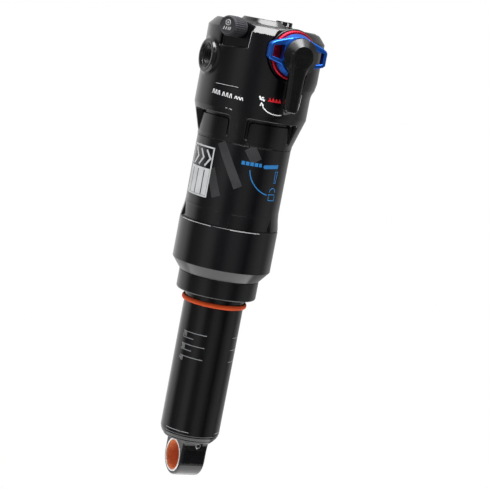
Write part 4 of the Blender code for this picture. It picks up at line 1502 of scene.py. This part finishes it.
@dataclass
class Valve:
    """The air valve and its cap."""

    azimuth: float = -57.0
    height: float = (span("valve_cap")[0].z + span("valve_cap")[1].z) / 2
    cap_radius: float = (span("valve_cap")[1].z - span("valve_cap")[0].z) / 2
    cap_back: float = 23.0
    cap_face: float = 33.0

    @property
    def place(self) -> Matrix:
        """The valve's own axes."""
        return azimuth_frame(self.azimuth, 0.0, 0.0, self.height)

    def build(self) -> None:
        """Build the valve's threaded body, its seal and its cap."""
        self._body()
        self._cap()

    def _body(self) -> None:
        """The brass body with its thread."""
        base, tip, pitch = 22.8, self.cap_face - 2.2, 0.8
        outline = [(1.5, 16.6), (2.2, 16.6), (2.2, base), (3.2, base + 0.4)]
        crest = base + 1.6
        while crest < tip - pitch:
            outline += [(3.2, crest), (2.85, crest + pitch / 2)]
            crest += pitch
        outline += [(3.2, crest), (2.8, tip), (1.5, tip)]
        Turned("valve_stem", outline, BRASS, "head", self.place, 0.05, 2, 56, None, ("valve_body",)).build()
        ring = ((3.4, 22.7), (4.3, 22.7), (4.3, 23.6), (3.4, 23.6))
        Turned("valve_gasket", ring, RUBBER, "head", self.place, 0.35, 4, 56, None, ("valve_seal",)).build()

    def _cap(self) -> None:
        """The ribbed cap with its printed face."""
        outer, face, back = self.cap_radius, self.cap_face, self.cap_back + 0.9
        outline = (
            (outer - 1.0, back),
            (outer - 0.3, back),
            (outer - 0.3, back + 1.0, 0.1),
            (outer, back + 1.3, 0.1),
            (outer, face - 1.0, 0.2),
            (outer - 0.35, face - 0.25, 0.25),
            (outer - 0.8, face, 0.2),
            (outer - 1.0, face - 0.18, 0.05),
            (0.0, face - 0.18),
            (0.0, face - 1.6),
            (outer - 1.0, face - 1.6),
        )
        ribs = Ribs(30, 0.2, outer - 0.32, 1.5)
        Turned("cap_shell", outline, CAP_BLACK, "cap", self.place, 0.1, 3, 240, ribs, ("valve_cap",)).build()
        canvas = Canvas(place=self.place @ Matrix.Translation((0.0, 0.0, face - 0.18)))
        marks = Print("cap_marks", canvas, WHITE_INK, "cap")
        marks.arc((0.0, 1.35), 1.15, 0.0, 360.0, 0.16)
        marks.stroke([(-0.55, 1.35), (0.55, 1.35)], 0.16)
        marks.stroke([(0.0, 0.8), (0.0, 1.9)], 0.16)
        for left in (-1.9, -0.75, 0.4, 1.25):
            marks.stroke([(left, -1.85), (left + 0.5, -0.55)], 0.26)
        marks.build()


# ---------------------------------------------------------------- inside


@dataclass(frozen=True)
class Internals:
    """The CAD nodes that keep their own shape, each with a finish."""

    finishes: tuple[tuple[Finish, tuple[str, ...]], ...] = (
        (STEEL, ("piston_shaft", "rebound_rod", "rebound_shims", "compression_shims", "piston_nut")),
        (STEEL, ("control_spindle", "detent_ball", "detent_spring", "valve_core", "valve_pin")),
        (ALLOY, ("main_piston", "air_piston", "floating_piston")),
        (GLIDE, ("guide_bushing", "main_piston_band", "air_piston_glide")),
        (RUBBER, ("head_can_seal", "sleeve_seal", "air_piston_seal", "shaft_seal", "top_out_bumper")),
        (RUBBER, ("bottom_out_bumper", "floating_piston_seal", "eyelet_seal")),
        (SPACER, ("volume_spacer",)),
    )

    def dress(self) -> None:
        """Give each node its finish."""
        for finish, nodes in self.finishes:
            for node in nodes:
                mesh = frame["nodes"][node].data
                mesh.materials.clear()
                mesh.materials.append(finish.material())
                LOG.info("%s is finished in %s", node, finish.name)


# ---------------------------------------------------------------- studio


@dataclass
class Softbox:
    """One soft rectangular light."""

    name: str
    azimuth: float
    elevation: float
    reach: float
    size: tuple[float, float]
    power: float
    aim: tuple[float, float, float] = (0.0, 0.0, -0.06)

    def build(self) -> None:
        """Hang the light and turn it to the object."""
        light = bpy.data.lights.new(self.name, "AREA")
        light.shape = "RECTANGLE"
        light.size, light.size_y = self.size
        light.energy = self.power
        lamp = bpy.data.objects.new(self.name, light)
        lamp.visible_camera = False
        back = heading(self.azimuth, self.elevation)
        lamp.location = Vector(self.aim) + back * self.reach
        lamp.rotation_mode = "QUATERNION"
        lamp.rotation_quaternion = (-back).to_track_quat("-Z", "Y")
        bpy.context.scene.collection.objects.link(lamp)


def heading(azimuth: float, elevation: float) -> Vector:
    """The unit vector that points at an azimuth and an elevation, both in degrees."""
    a, e = math.radians(azimuth), math.radians(elevation)
    return Vector((math.sin(a) * math.cos(e), -math.cos(a) * math.cos(e), math.sin(e)))


@dataclass
class Surround:
    """The walls of the studio: soft panels with dark gaps between them, and a white backdrop to look at.

    Each panel is an azimuth in degrees and the brightness there, which blends into its neighbours.
    """

    panels: tuple[tuple[float, float], ...] = (
        (-84.0, 0.27),
        (-70.0, 0.50),
        (-56.0, 0.46),
        (-43.0, 0.13),
        (-28.0, 0.12),
        (-14.0, 0.33),
        (0.0, 0.35),
        (14.0, 0.17),
        (28.0, 0.02),
        (42.0, 0.22),
        (56.0, 0.38),
        (71.0, 0.40),
        (84.0, 0.22),
        (98.0, 0.40),
        (112.0, 0.55),
        (128.0, 0.48),
        (152.0, 0.45),
        (167.0, 0.85),
        (184.0, 1.1),
        (227.0, 1.0),
        (239.0, 0.5),
        (248.0, 0.12),
        (262.0, 0.18),
    )
    seam: float = 0.23

    def build(self) -> None:
        """Paint the panels on the world, by direction."""
        world = bpy.data.worlds.new("surround")
        world.use_nodes = True
        tree = world.node_tree
        walls = tree.nodes["Background"]
        direction = tree.nodes.new("ShaderNodeTexCoord")
        sweep = tree.nodes.new("ShaderNodeTexGradient")
        sweep.gradient_type = "RADIAL"
        tree.links.new(direction.outputs["Generated"], sweep.inputs["Vector"])
        ramp = tree.nodes.new("ShaderNodeValToRGB")
        stops = sorted((((azimuth + 90.0) % 360.0) / 360.0, value) for azimuth, value in self.panels)
        self._stop(ramp.color_ramp.elements[0], 0.0, self.seam)
        self._stop(ramp.color_ramp.elements[1], 1.0, self.seam)
        for place, value in stops:
            self._stop(ramp.color_ramp.elements.new(place), place, value)
        tree.links.new(sweep.outputs["Fac"], ramp.inputs["Fac"])
        tree.links.new(ramp.outputs["Color"], walls.inputs["Color"])
        backdrop = tree.nodes.new("ShaderNodeBackground")
        backdrop.inputs["Color"].default_value = (1.0, 1.0, 1.0, 1.0)
        seen = tree.nodes.new("ShaderNodeLightPath")
        either = tree.nodes.new("ShaderNodeMixShader")
        tree.links.new(seen.outputs["Is Camera Ray"], either.inputs["Fac"])
        tree.links.new(walls.outputs["Background"], either.inputs[1])
        tree.links.new(backdrop.outputs["Background"], either.inputs[2])
        tree.links.new(either.outputs["Shader"], tree.nodes["World Output"].inputs["Surface"])
        bpy.context.scene.world = world

    @staticmethod
    def _stop(element: bpy.types.ColorRampElement, place: float, value: float) -> None:
        """Set one stop of the ramp."""
        element.position = place
        element.color = (value, value, value, 1.0)


@dataclass
class Studio:
    """A plain pale floor, soft lights and the camera."""

    floor_z: float = -0.42
    floor_radius: float = 0.3
    azimuth: float = -27.815
    elevation: float = 8.456
    roll: float = -10.866
    distance: float = 0.7045
    lens: float = 113.2
    target: tuple[float, float, float] = (0.007857, -0.004145, -0.08197)

    def build(self) -> None:
        """Set up the surround, the floor, the lights and the camera."""
        bpy.context.scene.view_settings.view_transform = "Standard"
        Surround().build()
        self._floor()
        Softbox("overhead", -15.0, 72.0, 0.8, (0.7, 0.5), 16.0).build()
        Softbox("canopy", 10.0, 66.0, 0.85, (1.3, 1.1), 8.0).build()
        self._camera()

    def _floor(self) -> None:
        """The floor, a pale disc."""
        mesh = bpy.data.meshes.new("floor")
        radius = self.floor_radius
        turns = [math.tau * k / 64 for k in range(64)]
        ring = [(radius * math.cos(t), radius * math.sin(t), self.floor_z) for t in turns]
        mesh.from_pydata(ring, [], [list(range(64))])
        material = bpy.data.materials.new("pale_floor")
        material.use_nodes = True
        shader = material.node_tree.nodes["Principled BSDF"]
        shader.inputs["Base Color"].default_value = (0.93, 0.93, 0.93, 1.0)
        shader.inputs["Roughness"].default_value = 0.9
        shader.inputs["Specular IOR Level"].default_value = 0.0
        shader.inputs["Emission Color"].default_value = (1.0, 1.0, 1.0, 1.0)
        shader.inputs["Emission Strength"].default_value = 0.6
        mesh.materials.append(material)
        floor = bpy.data.objects.new("floor", mesh)
        bpy.context.scene.collection.objects.link(floor)

    def _camera(self) -> None:
        """The camera, leaning so that the shock leans to the right."""
        data = bpy.data.cameras.new("camera")
        data.lens, data.sensor_width = self.lens, 36.0
        data.clip_start, data.clip_end = 0.01, 50.0
        camera = bpy.data.objects.new("camera", data)
        back, roll = heading(self.azimuth, self.elevation), math.radians(self.roll)
        right = heading(self.azimuth + 90.0, 0.0)
        up = back.cross(right)
        across = right * math.cos(roll) - up * math.sin(roll)
        upward = right * math.sin(roll) + up * math.cos(roll)
        turn = Matrix((across, upward, back)).transposed().to_4x4()
        camera.matrix_world = Matrix.Translation(Vector(self.target) + back * self.distance) @ turn
        bpy.context.scene.collection.objects.link(camera)
        bpy.context.scene.camera = camera


def main() -> None:
    """Build the shock's sub-assemblies in order."""
    logging.basicConfig(level=logging.INFO, format="%(name)s %(relativeCreated)d ms: %(message)s")
    Studio().build()
    Internals().dress()
    for assembly in (Head(), AirCan(), DamperLeg(), Controls(), Valve()):
        LOG.info("building %s", type(assembly).__name__)
        assembly.build()


if __name__ == "__main__":
    main()
